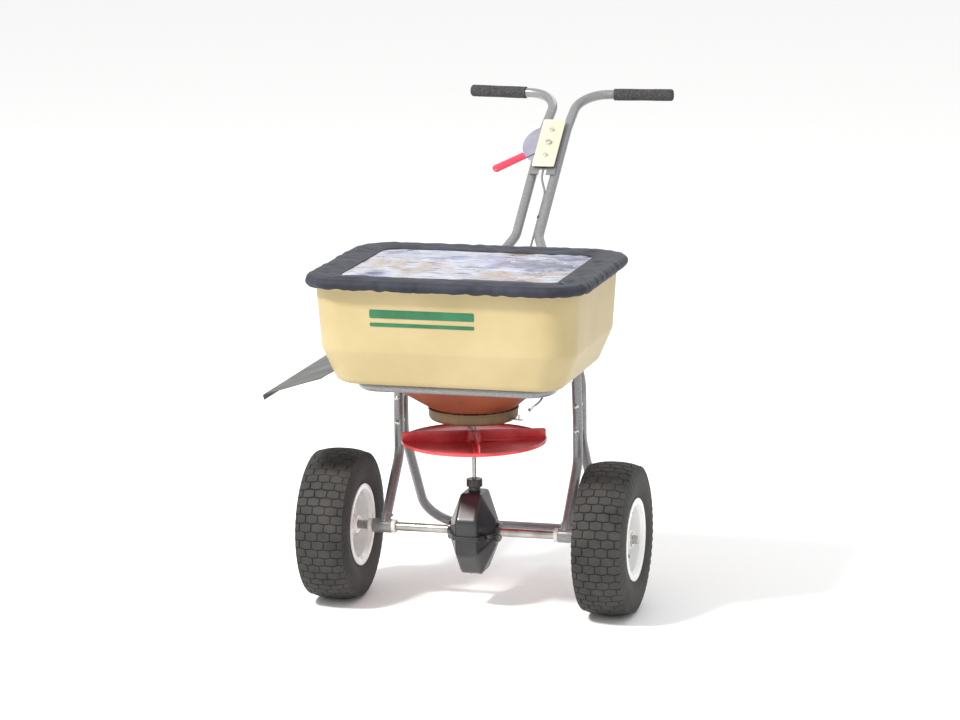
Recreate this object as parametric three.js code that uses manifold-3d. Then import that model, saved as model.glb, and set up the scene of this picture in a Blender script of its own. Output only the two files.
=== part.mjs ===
// Walk-behind broadcast spreader: hopper on a tube frame, geared axle, spinner, rate lever and side deflector.
// Millimetres, +Z up. The machine travels towards -Y and the operator walks behind it at +Y, so the
// operator's left is +X. Inside this file the ground is z = 0 and the axle stands over x = 0, y = 0.
import * as THREE from 'three';
import { mergeVertices } from 'three/addons/utils/BufferGeometryUtils.js';
import Module from 'manifold-3d';

const wasm = await Module();
wasm.setup();

// ---------- driving dimensions ----------
const gap = 0.3; // clearance between pieces that touch
const cutExtra = 4; // how far a cutting tool runs past the face it opens

const hopperHalfX = 286;
const hopperHalfY = 225;
const hopperCentreY = -29;
const hopperWall = 4;
const hopperCorner = 70;
const lipHeight = 12;
const lipReach = 7;
const creaseInset = 8;
const bellyInset = 38; // how far the lower edge stands in from the rim
const bellyCorner = 50;
const bellyRise = 7; // height of the round between the ledge and the sloping wall
const bellyFoot = 9.5;
const sideDifference = 8; // the front and back stand in less than the ends do
const ledgeInset = 15; // inner edge of the ledge inside the ring's centre line
const neckRadius = 92;
const housingDepth = 26;

const ringZ = 512;
const ringHalfX = hopperHalfX - 81;
const ringHalfY = hopperHalfY - 78;
const neckZ = ringZ - 71;
const creaseZ = ringZ + 88;
const hopperTopZ = ringZ + 234;

const tubeRadius = 11;
const frameHalfWidth = ringHalfX - 3; // legs, stand and lower handle
const frameBend = 55;
const ringBend = 50;
const handleHalfWidth = 26.5;

const legFrontY = 112;
const legPitch = 36; // front tube to rear tube, held apart by a spacer on each bolt
const legSpacerRadius = 7;
const legBendZ = ringZ - 212;
const sleeveRadius = 15.5;
const sleeveBore = 13.3;
const sleeveInner = frameHalfWidth - 15;
const sleeveOuter = frameHalfWidth + 28;
const legBoltHeights = [ringZ - 85, ringZ - 140];
const boltRadius = 3;

const wheelRadius = 165;
const tyreHalfWidth = 58;
const tyreWall = 8;
const tyreRoom = 17.5; // between the leg's sleeve and the tyre
const trackHalf = sleeveOuter + tyreRoom + tyreHalfWidth;
const rimSeatRadius = 74;
const rimFlangeRadius = 90;
const rimHalfWidth = 53;
const rimSheet = 3;
const hubRadius = 20;
const hubHalfLength = 42;

const axleRadius = 9.5;
const axleOverhang = 12; // axle beyond the hub
const washerThickness = 3;
const washerRadius = 17;

const standBarY = 327;
const standBarZ = 95;
const standKneeZ = 346;
const standBend = 85;

const handleLean = THREE.MathUtils.degToRad(52); // from the vertical
const handleAnchorY = 600;
const handleAnchorZ = 840.5;
const controlReach = 96.5; // plate centre up the handle from the anchor
const plateHalfWidth = 26;
const plateHalfLength = 74;
const plateBoltPitch = 40;
const flareY = 462;
const flareEndZ = ringZ - 37;
const kneePastPlate = -6;
const gripKneeY = handleAnchorY + (controlReach + plateHalfLength) * Math.sin(handleLean) + kneePastPlate;
const gripBend = 76;
const gripCornerY = 857;
const gripRise = 164.5; // grips above the handle's anchor
const gripCornerZ = handleAnchorZ + gripRise;
const gripSweep = THREE.MathUtils.degToRad(6.5);
const gripStart = 107;
const gripEnd = 242;
const gripRadius = tubeRadius + 3;

const sheetThickness = 3;
const scaleRadius = 62;
const leverLength = 144;
const leverRest = THREE.MathUtils.degToRad(217);
const leverHalfWidth = 8;
const leverGripLength = 80;

const caseFlat = 88.5; // axle to the flat top of the case
const caseDepthShare = 0.84;
const caseRimHalf = 22.5;
const caseBossHalf = 50;
const caseBossRadius = 27;
const caseWall = 4;
const crownTeeth = 36;
const pinionTeeth = 10;
const crownRadius = 38.5;
const pinionRadius = crownRadius * pinionTeeth / crownTeeth;

const shaftRadius = 4.5;
const spinnerRadius = 157;
const spinnerDrop = 52; // below the outlet
const spinnerZ = neckZ - housingDepth - spinnerDrop;
const vaneHeight = 25;
const vaneCount = 4;

const portRadius = 12;
const portCircle = 56;
const portAngles = [-130, -90, -50];
const gateTravel = 28; // degrees from shut to fully open
const gateArmLength = neckRadius + 20;

const flapHingeX = bellyInset - hopperHalfX - 16;
const flapHingeZ = ringZ + 21;
const flapFrontY = -202;
const flapRearY = 284;
const flapWidth = 151;
const flapDrop = THREE.MathUtils.degToRad(17);
const flapSheet = 2;
const hingeRodRadius = 3;
const bracketThickness = 5;

const coverReach = 24; // cover's outer edge beyond the hopper wall
const coverRise = 13; // top of the padded border above the hopper's rim
const coverBorder = 48; // width of the border from the hopper wall to the window

const cableRadius = 2.5;

// ---------- solids ----------
const tubeSides = 8;
const bendStep = THREE.MathUtils.degToRad(22.5);
const wheelSegments = 24;
const cornerSteps = 5;

const v = (x, y, z) => new THREE.Vector3(x, y, z);

function signedVolume(geometry) {
  const position = geometry.attributes.position;
  const index = geometry.index.array;
  const corner = [v(0, 0, 0), v(0, 0, 0), v(0, 0, 0)];
  let total = 0;
  for (let i = 0; i < index.length; i += 3) {
    corner.forEach((point, k) => point.fromBufferAttribute(position, index[i + k]));
    total += corner[0].dot(corner[1].clone().cross(corner[2]));
  }
  return total;
}

// merges shared corners and turns the faces outwards
function weld(geometry) {
  geometry.deleteAttribute('normal');
  geometry.deleteAttribute('uv');
  const welded = mergeVertices(geometry, 1e-3);
  if (signedVolume(welded) < 0) {
    welded.index.array.reverse();
  }
  return welded;
}

function toSolid(geometry) {
  const welded = weld(geometry.clone());
  return new wasm.Manifold(new wasm.Mesh({
    numProp: 3,
    vertProperties: new Float32Array(welded.attributes.position.array),
    triVerts: new Uint32Array(welded.index.array),
  }));
}

function toGeometry(solid) {
  const mesh = solid.getMesh();
  const geometry = new THREE.BufferGeometry();
  geometry.setAttribute('position', new THREE.BufferAttribute(new Float32Array(mesh.vertProperties), 3));
  geometry.setIndex(new THREE.BufferAttribute(new Uint32Array(mesh.triVerts), 1));
  return geometry;
}

const join = (...pieces) => toGeometry(pieces.map(toSolid).reduce((sum, next) => sum.add(next)));
const cut = (body, ...tools) => toGeometry(tools.map(toSolid).reduce((sum, next) => sum.subtract(next), toSolid(body)));
const common = (first, second) => toGeometry(toSolid(first).intersect(toSolid(second)));

function moved(geometry, x, y, z) {
  const copy = geometry.clone();
  copy.translate(x, y, z);
  return copy;
}

function slab(low, high) {
  const size = high.clone().sub(low);
  const middle = high.clone().add(low).multiplyScalar(0.5);
  return moved(new THREE.BoxGeometry(size.x, size.y, size.z), middle.x, middle.y, middle.z);
}

function rod(from, to, radius, sides = tubeSides) {
  const axis = to.clone().sub(from);
  const geometry = new THREE.CylinderGeometry(radius, radius, axis.length(), sides);
  geometry.applyQuaternion(new THREE.Quaternion().setFromUnitVectors(v(0, 1, 0), axis.clone().normalize()));
  const middle = from.clone().add(to).multiplyScalar(0.5);
  return moved(geometry, middle.x, middle.y, middle.z);
}

function sleeve(from, to, outer, inner, sides = tubeSides) {
  const reach = to.clone().sub(from).normalize().multiplyScalar(cutExtra);
  return cut(rod(from, to, outer, sides), rod(from.clone().sub(reach), to.clone().add(reach), inner, sides));
}

// profile of [radius, height] pairs that closes on itself, turned about Z
function turned(profile, segments) {
  const points = [...profile, profile[0]].map(([radius, height]) => new THREE.Vector2(radius, height));
  const geometry = new THREE.LatheGeometry(points, segments);
  geometry.rotateX(Math.PI / 2);
  return weld(geometry);
}

// the same, turned about X, with heights measured along X
function turnedAboutX(profile, segments) {
  const geometry = turned(profile, segments);
  geometry.rotateY(Math.PI / 2);
  return geometry;
}

// flat outline of [x, y] pairs, given a thickness along Z
function plate(outline, thickness, holes = []) {
  const shape = new THREE.Shape(outline.map(([x, y]) => new THREE.Vector2(x, y)));
  holes.forEach(([x, y, radius]) => shape.holes.push(new THREE.Path().absarc(x, y, radius, 0, 2 * Math.PI, true)));
  return new THREE.ExtrudeGeometry(shape, { depth: thickness, bevelEnabled: false, curveSegments: tubeSides });
}

// rings of equal length joined one after the other, the last to the first
function closedLoft(rings) {
  const count = rings[0].length;
  const index = [];
  rings.forEach((ring, i) => {
    const next = ((i + 1) % rings.length) * count;
    ring.forEach((point, k) => {
      const step = (k + 1) % count;
      index.push(i * count + k, i * count + step, next + step, i * count + k, next + step, next + k);
    });
  });
  const geometry = new THREE.BufferGeometry();
  geometry.setAttribute('position', new THREE.Float32BufferAttribute(rings.flat().flatMap((p) => [p.x, p.y, p.z]), 3));
  geometry.setIndex(index);
  return weld(geometry);
}

function roundedRing(halfX, halfY, corner, centreY, z) {
  const points = [];
  for (let quarter = 0; quarter < 4; quarter += 1) {
    const signX = quarter === 0 || quarter === 3 ? 1 : -1;
    const signY = quarter < 2 ? 1 : -1;
    for (let step = 0; step <= cornerSteps; step += 1) {
      const angle = (quarter + step / cornerSteps) * Math.PI / 2;
      points.push(v(
        signX * (halfX - corner) + corner * Math.cos(angle),
        centreY + signY * (halfY - corner) + corner * Math.sin(angle),
        z,
      ));
    }
  }
  return points;
}

// stations along straight runs joined by round bends; bend is one radius, or one for each corner
function bentStations(corners, bend) {
  const heading = (i) => corners[i + 1].clone().sub(corners[i]).normalize();
  const stations = [{ point: corners[0], tangent: heading(0) }];
  for (let i = 1; i < corners.length - 1; i += 1) {
    const before = heading(i - 1);
    const after = heading(i);
    const angle = before.angleTo(after);
    const inward = after.clone().addScaledVector(before, -before.dot(after)).normalize();
    const radius = Array.isArray(bend) ? bend[i - 1] : bend;
    const start = corners[i].clone().addScaledVector(before, -radius * Math.tan(angle / 2));
    const centre = start.clone().addScaledVector(inward, radius);
    const steps = Math.max(2, Math.ceil(angle / bendStep));
    for (let k = 0; k <= steps; k += 1) {
      const turn = angle * k / steps;
      stations.push({
        point: centre.clone().addScaledVector(inward, -radius * Math.cos(turn))
          .addScaledVector(before, radius * Math.sin(turn)),
        tangent: before.clone().multiplyScalar(Math.cos(turn)).addScaledVector(inward, Math.sin(turn)),
      });
    }
  }
  stations.push({ point: corners.at(-1), tangent: heading(corners.length - 2) });
  return stations;
}

// a curve that visits its stations one by one, so straight runs take no extra steps
class StationPath extends THREE.Curve {
  constructor(stations) {
    super();
    this.stations = stations;
  }

  station(share) {
    return this.stations[Math.round(share * (this.stations.length - 1))];
  }

  getPointAt(share, target = new THREE.Vector3()) {
    return target.copy(this.station(share).point);
  }

  getTangentAt(share, target = new THREE.Vector3()) {
    return target.copy(this.station(share).tangent);
  }
}

function bentTube(corners, radius, bend, sides = tubeSides) {
  const stations = bentStations(corners, bend);
  const section = new THREE.Shape().absarc(0, 0, radius, 0, 2 * Math.PI);
  const options = { steps: stations.length - 1, extrudePath: new StationPath(stations), curveSegments: sides };
  return weld(new THREE.ExtrudeGeometry(section, options));
}

// a flat loop of tube round a rounded rectangle
function tubeLoop(halfX, halfY, centreY, z, bend, radius) {
  const rings = roundedRing(halfX, halfY, bend, centreY, z).map((point, i) => {
    const quarter = Math.floor(i / (cornerSteps + 1));
    const angle = (quarter + (i % (cornerSteps + 1)) / cornerSteps) * Math.PI / 2;
    const side = v(Math.cos(angle), Math.sin(angle), 0);
    return Array.from({ length: tubeSides }, (unused, k) => {
      const turn = 2 * Math.PI * (k + 0.5) / tubeSides;
      return point.clone().addScaledVector(side, radius * Math.cos(turn)).add(v(0, 0, radius * Math.sin(turn)));
    });
  });
  return closedLoft(rings);
}

// bolt with a hexagon head at its start and a hexagon nut at its end
function bolt(headFace, nutFace, radius, headHeight = radius * 1.3) {
  const along = nutFace.clone().sub(headFace).normalize();
  const headEnd = headFace.clone().addScaledVector(along, -headHeight);
  const nutEnd = nutFace.clone().addScaledVector(along, headHeight * 1.2);
  const tip = nutEnd.clone().addScaledVector(along, radius * 0.8);
  return join(
    rod(headEnd, headFace, radius * 1.9, 6),
    rod(nutFace, nutEnd, radius * 1.9, 6),
    rod(headFace.clone().addScaledVector(along, -radius / 2), tip, radius, 8),
  );
}

// ---------- materials ----------
const finish = (color, roughness, metalness = 0) => new THREE.MeshStandardMaterial({ color, roughness, metalness });
const hopperPlastic = finish(0xe6d8a8, 0.45);
const housingPlastic = finish(0x8a7d54, 0.5);
const framePaint = finish(0x85868c, 0.4, 0.35);
const tyreRubber = finish(0x2c2c2e, 0.9);
const rimPaint = finish(0xf0f0ee, 0.35);
const blackPlastic = finish(0x1c1d20, 0.4);
const brightSteel = finish(0xc9c9c6, 0.25, 1);
const redPlastic = finish(0xc42832, 0.35);
const gripFoam = finish(0x2f3034, 0.95);
const creamPlate = finish(0xe8dcae, 0.5);
const scalePaint = finish(0xb3b3c6, 0.4, 0.3);
const sheetSteel = finish(0x8e8f92, 0.55, 0.6);
const coverVinyl = finish(0x2a2d36, 0.6);
const clearVinyl = finish(0xdfe3e6, 0.15);
const nylon = finish(0xdcdacf, 0.5);
const gearSteel = finish(0x8f8c84, 0.4, 1);

const spreader = new THREE.Group();

function add(name, geometry, material) {
  const mesh = new THREE.Mesh(geometry, material);
  mesh.name = name;
  spreader.add(mesh);
}

const mirrored = (geometry) => {
  const copy = geometry.clone();
  copy.scale(-1, 1, 1);
  return weld(copy);
};

const sides = [['left', 1], ['right', -1]];
const axleZ = wheelRadius;

// ---------- wheels and axle ----------
// the tyre wall bulges between the rim flange and the shoulder; the tread between the shoulders is crowned
const crownDrop = 7;
const beadHalf = rimHalfWidth - rimSheet - 2 * gap;
const beadRadius = rimSeatRadius + gap;
const flangeTop = rimFlangeRadius + 2 * gap;
const shoulderRadius = wheelRadius - crownDrop;
const wallSteps = 4;
const treadSteps = 4;
const wallLine = Array.from({ length: wallSteps + 1 }, (unused, i) => {
  const share = i / wallSteps;
  const bulge = 1 - (2 * share - 1) ** 2;
  return [flangeTop + (shoulderRadius - flangeTop) * share, beadHalf + (tyreHalfWidth - beadHalf) * bulge];
});
const treadLine = Array.from({ length: treadSteps - 1 }, (unused, i) => {
  const across = 1 - 2 * (i + 1) / treadSteps;
  return [wheelRadius - crownDrop * across ** 2, beadHalf * across];
});
const cavityHalf = beadHalf - tyreWall;
const flipped = (line) => line.map(([radius, x]) => [radius, -x]).reverse();
const tyreProfile = [
  [beadRadius, beadHalf],
  ...wallLine,
  ...treadLine,
  ...flipped(wallLine),
  [beadRadius, -beadHalf],
  [beadRadius, -cavityHalf],
  [shoulderRadius - tyreWall, -cavityHalf],
  [shoulderRadius - tyreWall, cavityHalf],
  [beadRadius, cavityHalf],
];

const barSides = 12; // sides of a turned bar and of the bores round it
// a many-sided bore that a bar of the same radius can turn in
const turningBore = (radius, sides) => (radius + gap) / Math.cos(Math.PI / sides);
const boreRadius = turningBore(axleRadius, barSides);
const dishX = -6; // web of the rim, measured towards the outer face
const wellRadius = rimSeatRadius - rimSheet;
const rimProfile = [
  [boreRadius, -hubHalfLength],
  [hubRadius, -hubHalfLength],
  [hubRadius, dishX - rimSheet],
  [wellRadius, dishX - rimSheet],
  [wellRadius, -rimHalfWidth],
  [rimFlangeRadius, -rimHalfWidth],
  [rimFlangeRadius, rimSheet - rimHalfWidth],
  [rimSeatRadius, rimSheet - rimHalfWidth],
  [rimSeatRadius, rimHalfWidth - rimSheet],
  [rimFlangeRadius, rimHalfWidth - rimSheet],
  [rimFlangeRadius, rimHalfWidth],
  [wellRadius, rimHalfWidth],
  [wellRadius, dishX],
  [hubRadius, dishX],
  [hubRadius, hubHalfLength],
  [boreRadius, hubHalfLength],
];

const axleEnd = trackHalf + hubHalfLength + washerThickness + axleOverhang;
const pinInset = 12; // drive pin from the hub's outer end
const pinX = trackHalf + hubHalfLength - pinInset;
const drivePinHole = rod(v(pinX, 0, -hubRadius - cutExtra), v(pinX, 0, hubRadius + cutExtra), boltRadius + gap, 8);
const stemInset = 34;
const stemOffset = 5;
const stemRadius = 4;
const stemTurn = THREE.MathUtils.degToRad(115);
const stemStart = v(rimHalfWidth - stemInset, 0, wellRadius - stemOffset);
const stemTip = stemStart.clone().add(v(30, 0, -10));

sides.forEach(([side, sign]) => {
  const rimGeometry = turnedAboutX(rimProfile, wheelSegments);
  rimGeometry.scale(sign, 1, 1);
  rimGeometry.translate(sign * trackHalf, 0, 0);
  const rim = side === 'left' ? cut(rimGeometry, drivePinHole) : weld(rimGeometry);
  add(`${side}_rim`, moved(rim, 0, 0, axleZ), rimPaint);
  add(`${side}_tyre`, moved(turnedAboutX(tyreProfile, wheelSegments), sign * trackHalf, 0, axleZ), tyreRubber);
  const stem = rod(stemStart, stemTip, stemRadius, tubeSides);
  stem.rotateX(sign * stemTurn);
  stem.scale(sign, 1, 1);
  add(`${side}_valve_stem`, weld(moved(stem, sign * trackHalf, 0, axleZ)), blackPlastic);
  const washerX = sign * (trackHalf + hubHalfLength + gap);
  add(
    `${side}_axle_washer`,
    sleeve(v(washerX, 0, axleZ), v(washerX + sign * washerThickness, 0, axleZ), washerRadius, boreRadius, barSides),
    brightSteel,
  );
});

const axleBar = rod(v(-axleEnd, 0, 0), v(axleEnd, 0, 0), axleRadius, barSides);
add('axle', moved(cut(axleBar, drivePinHole), 0, 0, axleZ), brightSteel);
add(
  'drive_pin',
  moved(bolt(v(pinX, 0, hubRadius + gap), v(pinX, 0, -hubRadius - gap), boltRadius), 0, 0, axleZ),
  brightSteel,
);

// ---------- gearbox and gears ----------
const caseVertex = caseFlat / Math.cos(Math.PI / 8);
function caseBody(inset) {
  const core = turnedAboutX([
    [0.01, -caseBossHalf + inset],
    [caseBossRadius - inset / 2, -caseBossHalf + inset],
    [caseVertex - inset, -caseRimHalf + inset],
    [caseVertex - inset, caseRimHalf - inset],
    [caseBossRadius - inset / 2, caseBossHalf - inset],
    [0.01, caseBossHalf - inset],
  ], 8);
  core.rotateX(Math.PI / 8);
  core.scale(1, caseDepthShare, 1);
  return core;
}

const bossEnd = caseBossHalf + 7;
const bossRadius = 21;
const neckRadiusCase = 13;
const neckTop = caseFlat + 14;
const collarTop = caseFlat + 27;
const flangeReach = 5;
const flangeThickness = 4;
const caseEdgeY = caseFlat * caseDepthShare;
const innerCase = caseBody(caseWall);
const axleHole = rod(v(-bossEnd - cutExtra, 0, 0), v(bossEnd + cutExtra, 0, 0), boreRadius, barSides);
const shaftHole = rod(v(0, 0, 0), v(0, 0, collarTop + cutExtra), shaftRadius + gap, 10);
const flangeOutline = [
  [caseRimHalf + flangeReach, -caseEdgeY - flangeReach],
  [caseBossHalf + flangeReach, -caseBossRadius],
  [caseBossHalf + flangeReach, caseBossRadius],
  [caseRimHalf + flangeReach, caseEdgeY + flangeReach],
  [-caseRimHalf - flangeReach, caseEdgeY + flangeReach],
  [-caseBossHalf - flangeReach, caseBossRadius],
  [-caseBossHalf - flangeReach, -caseBossRadius],
  [-caseRimHalf - flangeReach, -caseEdgeY - flangeReach],
];
const slant = new THREE.Vector2(caseEdgeY - caseBossRadius, caseBossHalf - caseRimHalf).normalize();
const screwOut = 6.5; // screw centre to the slanted edge of the case
const screwX = (caseRimHalf + caseBossHalf) / 2 + slant.x * screwOut;
const screwY = (caseEdgeY + caseBossRadius) / 2 + slant.y * screwOut;
const screwRadius = 2.1;
const screwBoss = 6.5;
const caseScrews = [[screwX, -screwY], [-screwX, screwY]];
const flange = plate(flangeOutline, 2 * flangeThickness);
const screwBosses = caseScrews.map(([x, y]) => rod(v(x, y, -flangeThickness), v(x, y, flangeThickness), screwBoss));
const lugPlace = 10;
const lugHalfX = 4;
const lugHalfY = 8;
const lugDrop = 7;
const lugs = [-1, 1].map((sign) => slab(
  v(sign * lugPlace - lugHalfX, -lugHalfY, -caseFlat - lugDrop),
  v(sign * lugPlace + lugHalfX, lugHalfY, -caseFlat + 2),
));
const wholeCase = cut(
  join(
    caseBody(0),
    rod(v(-bossEnd, 0, 0), v(bossEnd, 0, 0), bossRadius, barSides),
    moved(flange, 0, 0, -flangeThickness),
    rod(v(0, 0, caseFlat - 2), v(0, 0, neckTop), neckRadiusCase, barSides),
    ...screwBosses,
    ...lugs,
  ),
  innerCase,
  axleHole,
  shaftHole,
  ...caseScrews.map(([x, y]) => rod(v(x, y, -caseFlat), v(x, y, caseFlat), screwRadius + gap, 8)),
);
const halfSpace = caseFlat * 2;
const upperHalf = slab(v(-halfSpace, -halfSpace, gap / 2), v(halfSpace, halfSpace, halfSpace));
const lowerHalf = slab(v(-halfSpace, -halfSpace, -halfSpace), v(halfSpace, halfSpace, -gap / 2));
add('gearbox_upper_case', moved(common(wholeCase, upperHalf), 0, 0, axleZ), blackPlastic);
add('gearbox_lower_case', moved(common(wholeCase, lowerHalf), 0, 0, axleZ), blackPlastic);
caseScrews.forEach(([x, y], i) => {
  const head = v(x, y, axleZ + flangeThickness + gap);
  const nut = v(x, y, axleZ - flangeThickness - gap);
  add(`case_screw_${i + 1}`, bolt(head, nut, screwRadius), brightSteel);
});
const collarRadius = 17.5;
const collarLap = 5; // collar down over the case's neck
const collar = cut(
  rod(v(0, 0, neckTop - collarLap), v(0, 0, collarTop), collarRadius, barSides),
  rod(v(0, 0, 0), v(0, 0, neckTop + gap), neckRadiusCase + gap, barSides),
  shaftHole,
);
add('shaft_collar', moved(collar, 0, 0, axleZ), blackPlastic);

// crown gear on the axle, on the right of the shaft, in mesh with the pinion above the axle
const toothHalf = 1.1;
const toothReach = 5;
const crownStandOff = 4.2; // crown's face to the pinion's pitch circle
const toothPlay = 0.6;
const crownFaceX = -pinionRadius - crownStandOff;
const crownTipX = crownFaceX + toothReach - toothPlay;
const crownWeb = 4;
const crownHubLength = 14;
const crownHubRadius = 16;
const crownTooth = (turn) => {
  const tooth = slab(
    v(crownFaceX - 1, -toothHalf, crownRadius - toothReach / 2),
    v(crownTipX, toothHalf, crownRadius + toothReach / 2),
  );
  tooth.rotateX(turn);
  return tooth;
};
const crownTurn = (i) => 2 * Math.PI * (i + 0.5) / crownTeeth;
const crownGear = cut(
  join(
    rod(v(crownFaceX - crownWeb, 0, 0), v(crownFaceX, 0, 0), crownRadius + toothReach / 2, crownTeeth / 2),
    rod(v(crownFaceX - crownHubLength, 0, 0), v(crownFaceX - 1, 0, 0), crownHubRadius, barSides),
    ...Array.from({ length: crownTeeth }, (unused, i) => crownTooth(crownTurn(i))),
  ),
  axleHole,
);
add('crown_gear', moved(crownGear, 0, 0, axleZ), gearSteel);

const pinionTipRadius = pinionRadius + 1.3;
const pinionHubWall = 3.5;
const pinionHubRise = 6;
const pinionTooth = (turn) => {
  const tooth = slab(
    v(-pinionTipRadius, -toothHalf, crownRadius - toothReach / 2),
    v(-shaftRadius - 2, toothHalf, crownRadius + toothReach / 2),
  );
  tooth.rotateZ(turn);
  return tooth;
};
const pinionHub = rod(
  v(0, 0, crownRadius - toothReach / 2),
  v(0, 0, crownRadius + toothReach / 2 + pinionHubRise),
  shaftRadius + pinionHubWall,
  barSides,
);
const pinion = cut(
  join(pinionHub, ...Array.from({ length: pinionTeeth }, (unused, i) => pinionTooth(2 * Math.PI * i / pinionTeeth))),
  shaftHole,
);
add('pinion_gear', moved(pinion, 0, 0, axleZ), gearSteel);

// ---------- spinner, shaft and agitator ----------
const shaftBottom = axleZ + axleRadius + 12; // clear of the axle
const housingFloorZ = neckZ - housingDepth;
const agitatorRise = 14; // above the funnel's neck
const agitatorHub = 12;
const agitatorZ = neckZ + agitatorRise;
const shaftTop = agitatorZ + agitatorHub + 4;
add('spinner_shaft', rod(v(0, 0, shaftBottom), v(0, 0, shaftTop), shaftRadius, 10), brightSteel);

const discSheet = 3;
const discHubRadius = 19;
const rimRise = 5;
const hubDrop = 9;
const vaneTwist = THREE.MathUtils.degToRad(20);
const disc = turned([
  [shaftRadius + gap, spinnerZ - hubDrop],
  [discHubRadius, spinnerZ - hubDrop],
  [discHubRadius + 6, spinnerZ - hubDrop + 5],
  [spinnerRadius, spinnerZ],
  [spinnerRadius, spinnerZ + discSheet + rimRise],
  [spinnerRadius - discSheet, spinnerZ + discSheet + rimRise],
  [spinnerRadius - discSheet, spinnerZ + discSheet],
  [discHubRadius, spinnerZ],
  [discHubRadius - 5, spinnerZ + vaneHeight],
  [shaftRadius + gap, spinnerZ + vaneHeight],
], 24);
const vane = (turn) => {
  const web = slab(
    v(discHubRadius - 8, -discSheet / 2, spinnerZ - 1),
    v(spinnerRadius - 1, discSheet / 2, spinnerZ + vaneHeight),
  );
  web.rotateZ(turn);
  return web;
};
const vaneTurn = (i) => 2 * Math.PI * i / vaneCount + vaneTwist;
add(
  'spinner_disc',
  join(disc, ...Array.from({ length: vaneCount }, (unused, i) => vane(vaneTurn(i)))),
  redPlastic,
);

const agitatorHubRadius = 11;
const fingerReach = 42;
const fingerRadius = 3;
const fingerZ = agitatorZ + 5;
const agitator = cut(
  join(
    rod(v(0, 0, agitatorZ), v(0, 0, agitatorZ + agitatorHub), agitatorHubRadius, barSides),
    rod(v(-fingerReach - 2, 0, fingerZ), v(fingerReach + 2, 0, fingerZ), fingerRadius, tubeSides),
    rod(v(-fingerReach, 0, fingerZ), v(-fingerReach, 0, fingerZ - 13), fingerRadius, tubeSides),
    rod(v(fingerReach, 0, fingerZ), v(fingerReach, 0, fingerZ + 15), fingerRadius, tubeSides),
  ),
  rod(v(0, 0, 0), v(0, 0, shaftTop + cutExtra), shaftRadius + gap, 10),
);
add('agitator', agitator, gearSteel);

// ---------- hopper, gate housing and gate ----------
const shelfZ = ringZ + tubeRadius + 3 * gap;
const bellyZ = shelfZ + bellyRise;
const bellyHalfX = hopperHalfX - bellyInset;
const bellyHalfY = hopperHalfY - bellyInset + sideDifference;
const ledgeHalfX = ringHalfX - ledgeInset;
const ledgeHalfY = ringHalfY - ledgeInset;
const creaseHalfX = hopperHalfX - creaseInset;
const creaseHalfY = hopperHalfY - creaseInset;
const lipHalfX = hopperHalfX + lipReach;
const lipHalfY = hopperHalfY + lipReach;
const lipZ = hopperTopZ - lipHeight;
const tubInner = hopperCorner - hopperWall;
const ledgeCorner = bellyCorner - hopperWall;
// half sizes, height, corner radius and centre of the tub's wall: up the outside, then down the inside
const tubLevels = [
  [ledgeHalfX, ledgeHalfY, shelfZ, bellyCorner, hopperCentreY],
  [bellyHalfX - bellyFoot, bellyHalfY - bellyFoot, shelfZ, bellyCorner, hopperCentreY],
  [bellyHalfX, bellyHalfY, bellyZ, bellyCorner, hopperCentreY],
  [creaseHalfX, creaseHalfY, creaseZ, hopperCorner, hopperCentreY],
  [hopperHalfX, hopperHalfY, lipZ, hopperCorner, hopperCentreY],
  [lipHalfX, lipHalfY, lipZ, hopperCorner + lipReach, hopperCentreY],
  [lipHalfX, lipHalfY, hopperTopZ, hopperCorner + lipReach, hopperCentreY],
  [hopperHalfX - hopperWall, hopperHalfY - hopperWall, hopperTopZ, tubInner, hopperCentreY],
  [creaseHalfX - hopperWall, creaseHalfY - hopperWall, creaseZ + 1, tubInner, hopperCentreY],
  [bellyHalfX - hopperWall, bellyHalfY - hopperWall, bellyZ + 2, ledgeCorner, hopperCentreY],
  [ledgeHalfX - hopperWall, ledgeHalfY - hopperWall, shelfZ + hopperWall, ledgeCorner, hopperCentreY],
];
const funnelPlay = 2 * gap;
const funnelHalfX = ledgeHalfX - funnelPlay;
const funnelHalfY = ledgeHalfY - funnelPlay;
const neckInner = neckRadius - hopperWall;
const funnelLevels = [
  [funnelHalfX, funnelHalfY, shelfZ, bellyCorner, hopperCentreY],
  [neckRadius, neckRadius, neckZ, neckRadius, 0],
  [neckInner, neckInner, neckZ, neckInner, 0],
  [funnelHalfX - hopperWall, funnelHalfY - hopperWall, shelfZ + hopperWall, ledgeCorner, hopperCentreY],
];
const level = ([halfX, halfY, z, corner, centreY]) => roundedRing(halfX, halfY, corner, centreY, z);
const hopperBoltAlong = [-72, 68]; // from the middle of the ring's side bars
const hopperBoltPlaces = [1, -1].flatMap((sign) => (
  hopperBoltAlong.map((along) => [sign * ringHalfX, hopperCentreY + along])
));
const boltHole = ([x, y]) => rod(v(x, y, ringZ - 30), v(x, y, shelfZ + 20), boltRadius + gap, 8);
add('hopper', cut(closedLoft(tubLevels.map(level)), ...hopperBoltPlaces.map(boltHole)), hopperPlastic);
add('hopper_funnel', closedLoft(funnelLevels.map(level)), hopperPlastic);

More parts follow.
